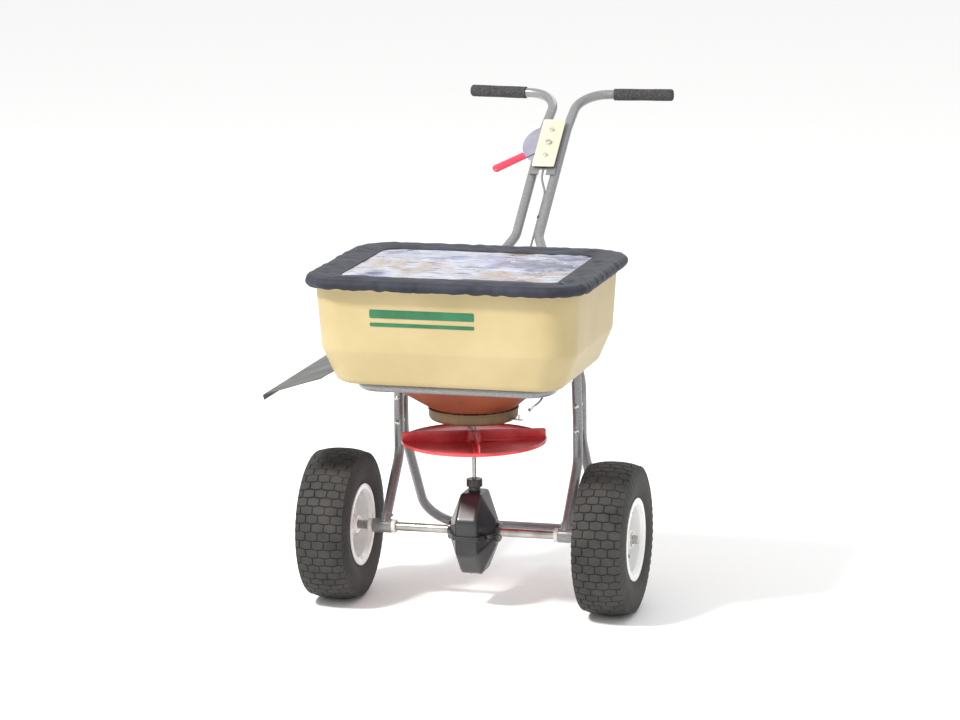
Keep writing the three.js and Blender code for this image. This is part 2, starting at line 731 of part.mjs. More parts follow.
const housingRadius = neckRadius + 4;
const housingWall = 4;
const housingRound = 9;
const floorTop = housingFloorZ + housingWall;
const gateThickness = 2.5;
const housingBore = shaftRadius + 4;
const outletBore = shaftRadius + 1.5;
const gateZ = floorTop + gap;
const gateRadius = housingRadius - housingWall - 2;
const housingShell = turned([
  [housingBore, housingFloorZ],
  [housingRadius - housingRound, housingFloorZ],
  [housingRadius, housingFloorZ + housingRound],
  [housingRadius, neckZ - gap],
  [housingRadius - housingWall, neckZ - gap],
  [housingRadius - housingWall, floorTop + housingRound / 2],
  [housingRadius - housingWall - 1, floorTop],
  [housingBore, floorTop],
], 24);
const polar = (radius, degrees, z) => {
  const angle = THREE.MathUtils.degToRad(degrees);
  return v(radius * Math.cos(angle), radius * Math.sin(angle), z);
};
const port = (turn) => (degrees) => rod(
  polar(portCircle, degrees + turn, housingFloorZ - cutExtra),
  polar(portCircle, degrees + turn, floorTop + cutExtra),
  portRadius,
  barSides,
);
const gateArmHalf = 6;
const armRest = -gateTravel / 2; // degrees from +X
const slotSpan = gateTravel / 2 + 7;
const slotPlay = 1.2;
const slotHeight = gateThickness + 2 * slotPlay;
const slotOutline = [
  [0, 0],
  ...[-1, -0.5, 0, 0.5, 1].map((share) => {
    const tip = polar(housingRadius * 1.4, slotSpan * share, 0);
    return [tip.x, tip.y];
  }),
];
const gateSlot = cut(
  moved(plate(slotOutline, slotHeight), 0, 0, gateZ - slotPlay),
  rod(v(0, 0, 0), v(0, 0, hopperTopZ), gateRadius - 4, 24),
);
const gatePivotRadius = shaftRadius + 9;
const stemRing = rod(v(0, 0, floorTop - 1), v(0, 0, gateZ + 8), gatePivotRadius, barSides);
const outlet = cut(join(housingShell, stemRing), rod(v(0, 0, 0), v(0, 0, hopperTopZ), outletBore, barSides));
add('gate_housing', cut(outlet, gateSlot, ...portAngles.map(port(0))), housingPlastic);

const armLow = v(gateRadius - 10, -gateArmHalf, gateZ);
const armEnd = 8; // arm past the wire's pin
const armHigh = v(gateArmLength + armEnd, gateArmHalf, gateZ + gateThickness);
const wireX = polar(gateArmLength, armRest, 0).x;
const pinRadius = cableRadius - 0.4;
const pinPlay = 2 * gap;
const armSlot = slab(
  v(wireX - pinRadius - pinPlay, -pinRadius - 2 * pinPlay, gateZ - cutExtra),
  v(gateArmLength + pinRadius + pinPlay, pinRadius + 2 * pinPlay, gateZ + gateThickness + cutExtra),
);
const gateArm = cut(slab(armLow, armHigh), armSlot);
gateArm.rotateZ(THREE.MathUtils.degToRad(armRest));
const gateDisc = rod(v(0, 0, gateZ), v(0, 0, gateZ + gateThickness), gateRadius, 24);
const gate = cut(
  join(gateDisc, gateArm),
  rod(v(0, 0, 0), v(0, 0, hopperTopZ), turningBore(gatePivotRadius, barSides), barSides),
  ...portAngles.map(port(-gateTravel)),
);
add('gate_shutter', gate, brightSteel);

// ---------- frame ----------
const ringTube = (radius) => tubeLoop(ringHalfX, ringHalfY, hopperCentreY, ringZ, ringBend, radius);
add('hopper_ring', cut(ringTube(tubeRadius), ...hopperBoltPlaces.map(boltHole)), framePaint);
hopperBoltPlaces.forEach(([x, y], i) => {
  const head = v(x, y, bellyZ + 4);
  const nut = v(x, y, ringZ - tubeRadius - gap);
  add(`hopper_bolt_${i + 1}`, bolt(head, nut, boltRadius), brightSteel);
});

const rearY = legFrontY + legPitch;
const legSplitZ = (legBoltHeights[0] + legBoltHeights[1]) / 2;
const legBoltHole = (z) => rod(
  v(frameHalfWidth, legFrontY - 2 * tubeRadius, z),
  v(frameHalfWidth, rearY + 2 * tubeRadius, z),
  boltRadius + gap,
  8,
);
const ringClearance = ringTube(tubeRadius + gap);
const legLean = 3; // the top of each leg leans in to the ring
const legStraight = 100; // straight run above the leg's bend
const legTube = bentTube([
  v(frameHalfWidth - legLean, legFrontY, ringZ),
  v(frameHalfWidth, legFrontY, legBendZ + legStraight),
  v(frameHalfWidth, legFrontY, legBendZ),
  v(frameHalfWidth, -4, axleZ + 6),
], tubeRadius, frameBend);
const sleeveHole = rod(
  v(sleeveInner - cutExtra, 0, axleZ),
  v(sleeveOuter + cutExtra, 0, axleZ),
  sleeveBore,
  barSides,
);
const leg = cut(
  join(legTube, rod(v(sleeveInner, 0, axleZ), v(sleeveOuter, 0, axleZ), sleeveRadius, barSides)),
  ringClearance,
  sleeveHole,
  ...legBoltHeights.map(legBoltHole),
);
const standHalf = (sign) => v(sign * frameHalfWidth, standBarY, standBarZ);
const standTop = (sign) => v(sign * frameHalfWidth, rearY, legSplitZ - gap / 2);
const standKnee = (sign) => v(sign * frameHalfWidth, rearY, standKneeZ);
const standTube = bentTube(
  [standTop(-1), standKnee(-1), standHalf(-1), standHalf(1), standKnee(1), standTop(1)],
  tubeRadius,
  [frameBend, standBend, standBend, frameBend],
);
const standHole = legBoltHole(legBoltHeights[1]);
add('stand_tube', cut(standTube, standHole, mirrored(standHole)), framePaint);

const handleUp = v(0, Math.sin(handleLean), Math.cos(handleLean));
const handlePoint = (y) => v(
  handleHalfWidth,
  y,
  handleAnchorZ + (y - handleAnchorY) / Math.tan(handleLean),
);
const gripPoint = (x) => v(x, gripCornerY + (x - handleHalfWidth) * Math.tan(gripSweep), gripCornerZ);
const gripCap = 4; // closed end of the grip past the tube
const gripLip = 2;
const handleRoute = [
  v(frameHalfWidth, rearY, legSplitZ + gap / 2),
  v(frameHalfWidth, rearY, flareEndZ),
  handlePoint(flareY),
  handlePoint(gripKneeY),
  gripPoint(handleHalfWidth),
  gripPoint(gripEnd - gripCap),
];
const handleBends = [frameBend, frameBend, frameBend, gripBend];
const handleTube = cut(bentTube(handleRoute, tubeRadius, handleBends), legBoltHole(legBoltHeights[0]));
const gripWay = gripPoint(gripEnd).sub(gripPoint(gripStart)).normalize();
const grip = cut(
  join(
    rod(gripPoint(gripStart), gripPoint(gripEnd), gripRadius, barSides),
    rod(
      gripPoint(gripStart).addScaledVector(gripWay, -gripLip),
      gripPoint(gripEnd).addScaledVector(gripWay, gripLip),
      tubeRadius,
      barSides,
    ),
  ),
  rod(
    gripPoint(gripStart).addScaledVector(gripWay, -cutExtra),
    gripPoint(gripEnd - gripCap).addScaledVector(gripWay, gap),
    tubeRadius + 3 * gap,
    barSides,
  ),
);
const legBoltAt = (z) => join(
  bolt(
    v(frameHalfWidth, legFrontY - tubeRadius - gap, z),
    v(frameHalfWidth, rearY + tubeRadius + gap, z),
    boltRadius,
  ),
  rod(
    v(frameHalfWidth, legFrontY + tubeRadius + gap, z),
    v(frameHalfWidth, rearY - tubeRadius - gap, z),
    legSpacerRadius,
  ),
);
const bushFlange = 9;
const bushLength = 14;
const bush = (x, inward) => cut(
  join(
    rod(v(x, 0, axleZ), v(x - inward * bushFlange, 0, axleZ), sleeveRadius - 0.5, barSides),
    rod(v(x - inward, 0, axleZ), v(x + inward * bushLength, 0, axleZ), sleeveBore - gap, barSides),
  ),
  rod(v(x - 2 * bushLength, 0, axleZ), v(x + 2 * bushLength, 0, axleZ), boreRadius, barSides),
);
sides.forEach(([side, sign]) => {
  const place = (geometry) => (sign === 1 ? geometry : mirrored(geometry));
  add(`${side}_leg`, place(leg), framePaint);
  add(`${side}_handle_tube`, place(handleTube), framePaint);
  add(`${side}_grip`, place(grip), gripFoam);
  add(`${side}_inner_bush`, place(bush(sleeveInner - gap, 1)), nylon);
  add(`${side}_outer_bush`, place(bush(sleeveOuter + gap, -1)), nylon);
  add(`${side}_upper_leg_bolt`, place(legBoltAt(legBoltHeights[0])), brightSteel);
  add(`${side}_lower_leg_bolt`, place(legBoltAt(legBoltHeights[1])), brightSteel);
});

// ---------- rate control, laid out flat and then leant with the handle ----------
// its x runs across, y up the handle and z out of the handle's upper side
const control = new THREE.Group();
control.rotation.x = Math.PI / 2 - handleLean;
const controlCentre = v(0, handleAnchorY, handleAnchorZ).addScaledVector(handleUp, controlReach);
control.position.copy(controlCentre);
spreader.add(control);

function addControl(name, geometry, material) {
  const mesh = new THREE.Mesh(geometry, material);
  mesh.name = name;
  control.add(mesh);
}

const bracketZ = tubeRadius + gap;
const scaleSheet = 2;
const scaleZ = bracketZ + sheetThickness + gap;
const leverZ = scaleZ + scaleSheet + gap;
const plateZ = leverZ + sheetThickness + gap;
const plateTop = plateZ + sheetThickness;
const boltPlaces = [0, plateBoltPitch, -plateBoltPitch];
const pivotRadius = 4;
const boltRadii = [pivotRadius, boltRadius, boltRadius];
const controlHoles = boltPlaces.map((y, i) => [0, y, boltRadii[i] + gap]);
const bracketHalf = handleHalfWidth + 3;
const notchHalf = 9;
const notchDepth = 16;
const bracketLow = -plateHalfLength - 17;
const bracketHigh = plateHalfLength - 10;
const controlOutline = [
  [-bracketHalf, bracketLow],
  [-notchHalf, bracketLow],
  [-notchHalf, bracketLow + notchDepth],
  [notchHalf, bracketLow + notchDepth],
  [notchHalf, bracketLow],
  [bracketHalf, bracketLow],
  [bracketHalf, bracketHigh],
  [-bracketHalf, bracketHigh],
];
addControl('control_bracket', moved(plate(controlOutline, sheetThickness, controlHoles), 0, 0, bracketZ), framePaint);
const scaleSteps = 16;
const scaleLap = 0.2; // the scale runs past a half circle by this angle at each end
const scaleArc = Array.from({ length: scaleSteps + 1 }, (unused, i) => {
  const angle = Math.PI / 2 - scaleLap + (Math.PI + 2 * scaleLap) * i / scaleSteps;
  return [scaleRadius * Math.cos(angle), scaleRadius * Math.sin(angle)];
});
addControl('rate_scale', moved(plate(scaleArc, scaleSheet, controlHoles), 0, 0, scaleZ), scalePaint);

const plateOutline = [
  [-plateHalfWidth, -plateHalfLength],
  [plateHalfWidth, -plateHalfLength],
  [plateHalfWidth, plateHalfLength],
  [-plateHalfWidth, plateHalfLength],
];
addControl('control_plate', moved(plate(plateOutline, sheetThickness, controlHoles), 0, 0, plateZ), creamPlate);
const boltNames = ['lever_pivot_bolt', 'upper_plate_bolt', 'lower_plate_bolt'];
boltPlaces.forEach((y, i) => {
  addControl(boltNames[i], bolt(v(0, y, plateTop + gap), v(0, y, bracketZ - gap), boltRadii[i]), brightSteel);
});

const leverHub = 15;
const leverGripStart = leverLength - leverGripLength;
const bladeEnd = leverLength - 5; // the blade stops short inside the sleeve
const leverBar = join(
  rod(v(0, 0, 0), v(0, 0, sheetThickness), leverHub, 20),
  slab(v(0, -leverHalfWidth, 0), v(bladeEnd, leverHalfWidth, sheetThickness)),
);
const lever = cut(leverBar, rod(v(0, 0, -cutExtra), v(0, 0, cutExtra * 2), pivotRadius + gap, barSides));
const gripThickness = 10;
const gripBevel = 2;
const gripTaper = 1.5;
const gripHalf = leverHalfWidth + 2.5;
const gripOutline = new THREE.Shape()
  .moveTo(leverGripStart, -gripHalf + gripTaper)
  .lineTo(leverLength - gripHalf, -gripHalf)
  .absarc(leverLength - gripHalf, 0, gripHalf, -Math.PI / 2, Math.PI / 2, false)
  .lineTo(leverGripStart, gripHalf - gripTaper);
const gripBody = new THREE.ExtrudeGeometry(gripOutline, {
  depth: gripThickness - 2 * gripBevel,
  bevelThickness: gripBevel,
  bevelSize: gripBevel,
  bevelOffset: -gripBevel,
  bevelSegments: 1,
  curveSegments: 8,
});
const leverPocket = slab(
  v(leverGripStart - cutExtra, -leverHalfWidth - gap, -gap),
  v(bladeEnd + gap, leverHalfWidth + gap, sheetThickness + gap),
);
const leverGrip = cut(moved(gripBody, 0, 0, (sheetThickness - gripThickness) / 2 + gripBevel), leverPocket);
[['rate_lever', lever, brightSteel], ['lever_grip', leverGrip, redPlastic]].forEach(([name, geometry, material]) => {
  const turnedPiece = geometry.clone();
  turnedPiece.rotateZ(leverRest);
  addControl(name, moved(turnedPiece, 0, 0, leverZ), material);
});

// ---------- cable from the lever to the gate ----------
const inControl = (x, y, z) => v(x, y, z).applyAxisAngle(v(1, 0, 0), Math.PI / 2 - handleLean).add(controlCentre);
const wireZ = gateZ + gateThickness + cableRadius;
const conduitStart = 62; // open end of the conduit, from the spinner's axis
const clipSide = handleHalfWidth - tubeRadius - cableRadius - 1;
const conduitBend = 30;
const conduitRoute = [
  v(wireX, conduitStart, wireZ),
  v(wireX, conduitStart + 88, wireZ),
  v(ringHalfX - 59, 252, ringZ),
  v(60, 400, ringZ + 128),
  inControl(clipSide, -320, -6),
  inControl(clipSide, -130, -6),
  inControl(0, -plateHalfLength - 24, 8),
  inControl(0, -plateHalfLength - 2, bracketZ + 1.5),
];
const wireRadius = 0.8;
const ferrule = rod(v(wireX, 58, wireZ), v(wireX, 86, wireZ), cableRadius + 1.6, 10);
const wireBore = rod(v(wireX, 50, wireZ), v(wireX, 140, wireZ), wireRadius + 0.5, tubeSides);
const conduitTube = bentTube(conduitRoute, cableRadius, conduitBend, tubeSides);
add('cable_conduit', cut(join(conduitTube, ferrule), wireBore), blackPlastic);

const wireStart = polar(gateArmLength, armRest, wireZ).y;
const pinReach = 7;
const wire = join(
  rod(v(wireX, wireStart, wireZ), v(wireX, conduitStart + 20, wireZ), wireRadius, 6),
  rod(v(wireX, wireStart, wireZ - pinReach), v(wireX, wireStart, wireZ + pinReach), pinRadius, 8),
);
add('gate_wire', wire, brightSteel);

// ---------- side deflector ----------
// a sheet that swings on a rod held off the right side of the ring; drawn level, then dropped to its rest
const bracketInner = [-113, 58];
const flapInnerEdge = 14; // keeps the sheet clear of the brackets as it swings
const barrelRadius = 5.5;
const flapLip = 12;
const bracketFoot = 8; // bracket above and below the ring's centre line
const bracketOutline = [
  [-ringHalfX - 4, ringZ - bracketFoot],
  [flapHingeX + 4, flapHingeZ - 11],
  [flapHingeX - 6, flapHingeZ - 8],
  [flapHingeX - 8, flapHingeZ],
  [flapHingeX - 4, flapHingeZ + 7],
  [flapHingeX + 4, flapHingeZ + 8],
  [flapHingeX + 9.5, flapHingeZ + 4],
  [flapHingeX + 14, flapHingeZ - 10],
  [-ringHalfX - tubeRadius, ringZ + bracketFoot + 0.5],
  [-ringHalfX - 4, ringZ + bracketFoot + 0.5],
];
const rodHole = (radius) => rod(v(flapHingeX, flapFrontY, flapHingeZ), v(flapHingeX, flapRearY, flapHingeZ), radius, 10);
const bracketNames = ['deflector_front_bracket', 'deflector_rear_bracket'];
bracketInner.forEach((y, i) => {
  const blank = plate(bracketOutline, bracketThickness);
  blank.rotateX(Math.PI / 2);
  const placed = moved(blank, 0, i === 0 ? y : y + bracketThickness, 0);
  add(bracketNames[i], cut(placed, ringClearance, rodHole(hingeRodRadius + gap)), framePaint);
});
const rodStart = bracketInner[0] - bracketThickness - gap;
const rodEnd = bracketInner[1] + bracketThickness + gap;
const rodHead = 3;
const hingeRod = join(
  rod(v(flapHingeX, rodStart - 1, flapHingeZ), v(flapHingeX, rodEnd + 1, flapHingeZ), hingeRodRadius, 10),
  rod(v(flapHingeX, rodStart - rodHead, flapHingeZ), v(flapHingeX, rodStart, flapHingeZ), hingeRodRadius + 2, 10),
  rod(v(flapHingeX, rodEnd, flapHingeZ), v(flapHingeX, rodEnd + rodHead, flapHingeZ), hingeRodRadius + 2, 10),
);
add('deflector_hinge_rod', hingeRod, brightSteel);

const webLow = bracketInner[0] + gap;
const webHigh = bracketInner[1] - gap;
const flap = cut(
  join(
    slab(v(-flapWidth, flapFrontY, -flapSheet / 2), v(-flapInnerEdge, flapRearY, flapSheet / 2)),
    slab(v(-flapInnerEdge - 1, webLow, -flapSheet / 2), v(0, webHigh, flapSheet / 2)),
    slab(v(-flapWidth, flapFrontY, -flapLip), v(flapSheet - flapWidth, flapRearY, flapSheet / 2)),
    rod(v(0, webLow, 0), v(0, webHigh, 0), barrelRadius, 12),
  ),
  rod(v(0, flapFrontY, 0), v(0, flapRearY, 0), hingeRodRadius + gap, 10),
);
flap.rotateY(-flapDrop);
add('deflector_flap', moved(flap, flapHingeX, 0, flapHingeZ), sheetSteel);

// ---------- rain cover ----------
const coverHalfX = hopperHalfX + coverReach;
const coverHalfY = hopperHalfY + coverReach;
const coverBottom = hopperTopZ - lipHeight - 2;
const coverSkirt = coverReach - lipReach - 3;
const windowHalfX = hopperHalfX - coverBorder;
const windowHalfY = hopperHalfY - coverBorder;
const coverUnder = hopperTopZ + 1.5;
const coverTop = hopperTopZ + coverRise;
const coverCorner = hopperCorner + coverReach;
const windowCorner = 30;
const windowRise = 4;
const windowZ = hopperTopZ + windowRise;
const windowSheet = 2;
const windowLap = 20; // border carried in under the window
const coverShoulder = 9;
const coverFlat = 26;
const coverLevels = [
  [windowHalfX, windowHalfY, windowZ + windowSheet + 4, windowCorner],
  [windowHalfX, windowHalfY, windowZ - 1, windowCorner],
  [windowHalfX + windowLap, windowHalfY + windowLap, coverUnder, windowCorner + 14],
  [coverHalfX - coverSkirt, coverHalfY - coverSkirt, coverUnder, coverCorner - coverSkirt],
  [coverHalfX - coverSkirt, coverHalfY - coverSkirt, coverBottom, coverCorner - coverSkirt],
  [coverHalfX - 2, coverHalfY - 2, coverBottom, coverCorner - 2],
  [coverHalfX, coverHalfY, hopperTopZ, coverCorner],
  [coverHalfX - coverShoulder, coverHalfY - coverShoulder, coverTop - 2, coverCorner - coverShoulder],
  [coverHalfX - coverFlat, coverHalfY - coverFlat, coverTop, coverCorner - coverFlat],
];
add('rain_cover', closedLoft(coverLevels.map((row) => level([...row, hopperCentreY]))), coverVinyl);
const windowOutline = roundedRing(windowHalfX - gap, windowHalfY - gap, windowCorner, hopperCentreY, 0)
  .map((point) => [point.x, point.y]);
add('cover_window', moved(plate(windowOutline, windowSheet), 0, 0, windowZ), clearVinyl);

// ---------- the whole machine, with its origin on the ground in the middle of its box ----------
const box = new THREE.Box3().setFromObject(spreader, true);
const machine = new THREE.Group();
spreader.position.set(-(box.min.x + box.max.x) / 2, -(box.min.y + box.max.y) / 2, -box.min.z);
machine.add(spreader);

export default machine;
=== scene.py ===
# Walk-behind broadcast spreader: the looks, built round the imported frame.
# Sizes are millimetres from the axle centre's foot on the ground; place() turns them into the frame's metres.
import math
import bpy
import numpy as np
from mathutils import Matrix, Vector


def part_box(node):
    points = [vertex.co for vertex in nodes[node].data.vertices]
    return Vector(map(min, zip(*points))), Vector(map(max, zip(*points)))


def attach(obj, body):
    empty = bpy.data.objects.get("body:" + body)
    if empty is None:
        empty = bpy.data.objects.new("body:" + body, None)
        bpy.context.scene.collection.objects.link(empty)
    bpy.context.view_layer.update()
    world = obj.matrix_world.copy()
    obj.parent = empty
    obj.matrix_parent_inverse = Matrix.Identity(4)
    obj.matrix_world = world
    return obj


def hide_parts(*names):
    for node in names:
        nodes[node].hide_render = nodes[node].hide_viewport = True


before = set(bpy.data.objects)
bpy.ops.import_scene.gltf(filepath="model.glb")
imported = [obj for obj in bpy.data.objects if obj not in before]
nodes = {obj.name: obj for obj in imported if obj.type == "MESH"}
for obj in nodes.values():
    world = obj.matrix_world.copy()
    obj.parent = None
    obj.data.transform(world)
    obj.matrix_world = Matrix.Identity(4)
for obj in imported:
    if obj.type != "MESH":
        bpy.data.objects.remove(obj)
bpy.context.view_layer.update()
tau = 2 * math.pi
axleZ = 165.0
rimEnds = (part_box("left_rim")[1].x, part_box("right_rim")[0].x)
axleLow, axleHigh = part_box("axle")
origin = np.array([sum(rimEnds) / 2, (axleLow.y + axleHigh.y) / 2, 0.0])
print("frame loaded")


def place(points):
    return np.asarray(points, float) / 1000 + origin


# camera, light and floor
view = {
    "turn": 15.659, "down": 11.47, "roll": -0.69, "distance": 7969.0, "aim": (-12.4, 100.0, 520.8),
    "lens": 137.77
}
turn, down = math.radians(view["turn"]), math.radians(view["down"])
sight = np.array([-math.sin(turn) * math.cos(down), math.cos(turn) * math.cos(down), -math.sin(down)])
camera = bpy.data.objects.new("camera", bpy.data.cameras.new("camera"))
camera.data.lens = view["lens"]
camera.data.sensor_width = 36
camera.data.clip_end = 100
spot = place(np.array(view["aim"]) - sight * view["distance"])
camera.matrix_world = (
    Matrix.Translation(spot.tolist())
    @ Matrix.Rotation(turn, 4, "Z")
    @ Matrix.Rotation(math.pi / 2 - down, 4, "X")
    @ Matrix.Rotation(math.radians(view["roll"]), 4, "Z")
)
bpy.context.scene.collection.objects.link(camera)
bpy.context.scene.camera = camera
bpy.context.scene.view_settings.view_transform = "Standard"


def areaLight(name, at, aim, size, power, colour=(1, 1, 1)):
    light = bpy.data.lights.new(name, "AREA")
    light.shape = "DISK"
    light.size = size
    light.energy = power
    light.color = colour
    lamp = bpy.data.objects.new(name, light)
    lamp.matrix_world = Matrix.Translation(at)
    way = (Matrix.Translation(aim).to_translation() - lamp.matrix_world.to_translation())
    lamp.rotation_euler = way.to_track_quat("-Z", "Y").to_euler()
    lamp.location = at
    bpy.context.scene.collection.objects.link(lamp)


areaLight("key", (-2.2, -3.0, 4.6), (0, 0, 0.5), 0.8, 330, (1.0, 0.97, 0.92))
areaLight("fill", (3.8, -2.4, 2.0), (0, 0, 0.5), 3.0, 8, (0.92, 0.95, 1.0))
areaLight("back", (0.6, 3.6, 3.2), (0, 0, 0.6), 2.6, 30)
world = bpy.data.worlds.new("studio")
world.use_nodes = True
world.node_tree.nodes["Background"].inputs["Color"].default_value = (1.0, 1.0, 1.0, 1)
world.node_tree.nodes["Background"].inputs["Strength"].default_value = 0.93
bpy.context.scene.world = world


# finishes: every pattern reads Object coordinates, in metres
class Finish:
    def __init__(self, name, colour, roughness, metallic=0.0, coat=0.0, specular=0.5):
        self.material = bpy.data.materials.new(name)
        self.material.use_nodes = True
        self.tree = self.material.node_tree
        self.shader = self.tree.nodes["Principled BSDF"]
        for socket, value in (
            ("Base Color", (*colour, 1)), ("Roughness", roughness), ("Metallic", metallic),
            ("Coat Weight", coat), ("Specular IOR Level", specular),
        ):
            self.shader.inputs[socket].default_value = value
        self.where = self.tree.nodes.new("ShaderNodeTexCoord").outputs["Object"]
        self.normal = None

    def link(self, a, b):
        self.tree.links.new(a, b)

    def node(self, kind, **inputs):
        made = self.tree.nodes.new(kind)
        for socket, value in inputs.items():
            made.inputs[socket].default_value = value
        return made

    def stretched(self, scale, turned=(0, 0, 0)):
        node = self.node("ShaderNodeMapping", Scale=scale, Rotation=turned)
        self.link(self.where, node.inputs["Vector"])
        return node.outputs["Vector"]

    def noise(self, size, detail=4.0, rough=0.55, twist=0.0, vector=None):
        node = self.node(
            "ShaderNodeTexNoise", Scale=1000.0 / size, Detail=detail, Roughness=rough, Distortion=twist
        )
        self.link(vector or self.where, node.inputs["Vector"])
        return node.outputs["Fac"]

    def cells(self, size, vector=None):
        node = self.node("ShaderNodeTexVoronoi", Scale=1000.0 / size)
        self.link(vector or self.where, node.inputs["Vector"])
        return node.outputs["Distance"]

    def ramp(self, value, stops):
        node = self.tree.nodes.new("ShaderNodeValToRGB")
        edges = node.color_ramp.elements
        edges[0].position, edges[0].color = stops[0][0], (*stops[0][1], 1)
        edges[1].position, edges[1].color = stops[-1][0], (*stops[-1][1], 1)
        for at, colour in stops[1:-1]:
            edges.new(at).color = (*colour, 1)
        self.link(value, node.inputs["Fac"])
        return node.outputs["Color"]

    def blendColours(self, share, first, second):
        node = self.tree.nodes.new("ShaderNodeMix")
        node.data_type = "RGBA"
        self.link(share, node.inputs[0])
        for socket, value in ((node.inputs[6], first), (node.inputs[7], second)):
            if isinstance(value, tuple):
                socket.default_value = (*value, 1)
            else:
                self.link(value, socket)
        return node.outputs[2]

    def colour(self, socket):
        self.link(socket, self.shader.inputs["Base Color"])
        return self

    def roughness(self, value, low, high):
        node = self.node("ShaderNodeMapRange", **{"To Min": low, "To Max": high})
        self.link(value, node.inputs["Value"])
        self.link(node.outputs["Result"], self.shader.inputs["Roughness"])
        return self

    def bump(self, height, depth, strength=1.0):
        node = self.node("ShaderNodeBump", Strength=strength, Distance=depth / 1000)
        self.link(height, node.inputs["Height"])
        if self.normal:
            self.link(self.normal, node.inputs["Normal"])
        self.normal = node.outputs["Normal"]
        self.link(self.normal, self.shader.inputs["Normal"])
        return self


def mottled(name, dark, light, size, roughness, spread=(0.35, 0.65), grain=None, **more):
    made = Finish(name, light, sum(roughness) / 2, **more)
    patches = made.noise(size, 5)
    made.colour(made.ramp(patches, [(spread[0], dark), (spread[1], light)]))
    made.roughness(made.noise(size * 0.6, 3), *roughness)
    if grain:
        made.bump(made.noise(grain[0], 3), grain[1], grain[2])
    return made


hopperFinish = mottled(
    "cream_polyethylene", (0.425, 0.338, 0.166), (0.485, 0.390, 0.203), 180, (0.38, 0.52),
    grain=(2.2, 0.25, 0.35)
)
hopperFinish.bump(hopperFinish.noise(26, 2), 0.6, 0.25)
# the funnel's terracotta is painted shade on the cream hopper plastic, with a painted red reflection of the
# spinner
funnelShadeFinish = mottled(
    "painted_shade_red_bounce_plastic", (0.16, 0.036, 0.014), (0.27, 0.068, 0.026), 90, (0.45, 0.6),
    grain=(2.2, 0.25, 0.35)
)
# the housing's dark olive brown is painted deep shade on the same cream plastic
housingShadeFinish = mottled(
    "painted_deep_shade_plastic", (0.10, 0.058, 0.022), (0.19, 0.115, 0.045), 60, (0.42, 0.58),
    grain=(1.6, 0.2, 0.4)
)
blackFinish = mottled(
    "black_plastic", (0.008, 0.008, 0.010), (0.022, 0.022, 0.027), 70, (0.26, 0.4), grain=(1.2, 0.12, 0.4),
    coat=0.2
)
redFinish = mottled(
    "red_plastic", (0.58, 0.030, 0.036), (0.80, 0.090, 0.098), 80, (0.3, 0.42), grain=(3, 0.15, 0.3),
    coat=0.15
)
vinylRed = mottled(
    "red_dip_vinyl", (0.70, 0.020, 0.060), (0.82, 0.035, 0.085), 40, (0.16, 0.26), grain=(5, 0.15, 0.3),
    coat=0.6
)
rimFinish = mottled(
    "white_rim_enamel", (0.74, 0.74, 0.73), (0.86, 0.86, 0.85), 90, (0.16, 0.26), grain=(4, 0.08, 0.25),
    coat=0.7
)
plateFinish = mottled(
    "cream_plate_enamel", (0.56, 0.52, 0.40), (0.62, 0.585, 0.47), 50, (0.28, 0.4), grain=(1.5, 0.05, 0.3)
)
conduitFinish = mottled(
    "grey_conduit", (0.16, 0.16, 0.165), (0.21, 0.21, 0.215), 30, (0.4, 0.5), grain=(1.5, 0.05, 0.3)
)
scaleFinish = mottled(
    "lavender_scale", (0.24, 0.233, 0.30), (0.30, 0.29, 0.36), 30, (0.3, 0.42), metallic=0.2
)
nylonFinish = mottled("nylon", (0.55, 0.54, 0.50), (0.74, 0.73, 0.68), 20, (0.4, 0.5), grain=(1, 0.05, 0.3))
gearFinish = mottled(
    "machined_steel", (0.22, 0.21, 0.19), (0.38, 0.37, 0.34), 12, (0.35, 0.5), metallic=1.0,
    grain=(0.8, 0.05, 0.4)
)
zincFinish = mottled(
    "zinc_plate", (0.50, 0.49, 0.46), (0.80, 0.79, 0.76), 10, (0.2, 0.36), metallic=1.0,
    grain=(0.8, 0.03, 0.3)
)

# hammered powder coat: dimples a few millimetres across, with paler high spots
frameFinish = Finish("hammered_coat", (0.22, 0.22, 0.24), 0.34, metallic=0.35, coat=0.35)
dimples = frameFinish.noise(3.4, 2, 0.4, 0.6)
frameFinish.colour(
    frameFinish.ramp(dimples, [(0.32, (0.185, 0.188, 0.194)), (0.68, (0.262, 0.265, 0.274))])
)
frameFinish.bump(dimples, 0.2, 0.45).roughness(frameFinish.noise(60, 3), 0.26, 0.4)

# turned bar: fine rings across the length, with long soft stains
barFinish = Finish("bright_bar", (0.72, 0.71, 0.68), 0.28, metallic=1.0)
rings = barFinish.noise(1.0, 2, 0.5, 0, barFinish.stretched((3.0, 0.05, 0.05)))
barFinish.colour(
    barFinish.ramp(barFinish.noise(45, 4), [(0.3, (0.24, 0.23, 0.21)), (0.62, (0.46, 0.455, 0.44))])
)
barFinish.bump(rings, 0.03, 0.5).roughness(rings, 0.2, 0.38)

# tyre rubber: charcoal, dusty in patches, with a fine pebble grain
tyreFinish = Finish("tyre_rubber", (0.03, 0.03, 0.03), 0.7, specular=0.35)
dust = tyreFinish.noise(70, 6, 0.65)
tyreFinish.colour(tyreFinish.ramp(dust, [(0.32, (0.016, 0.016, 0.017)), (0.7, (0.056, 0.052, 0.049))]))
tyreFinish.bump(tyreFinish.noise(1.6, 3, 0.6), 0.35, 0.6).roughness(dust, 0.55, 0.85)

# foam grip: open pores
gripFinish = Finish("foam_grip", (0.035, 0.035, 0.04), 0.85, specular=0.25)
pores = gripFinish.cells(2.4)
gripFinish.colour(
    gripFinish.ramp(gripFinish.noise(3.5, 4), [(0.35, (0.028, 0.027, 0.029)), (0.7, (0.088, 0.083, 0.086))])
)
gripFinish.bump(pores, 0.5, 0.8).roughness(pores, 0.7, 0.95)

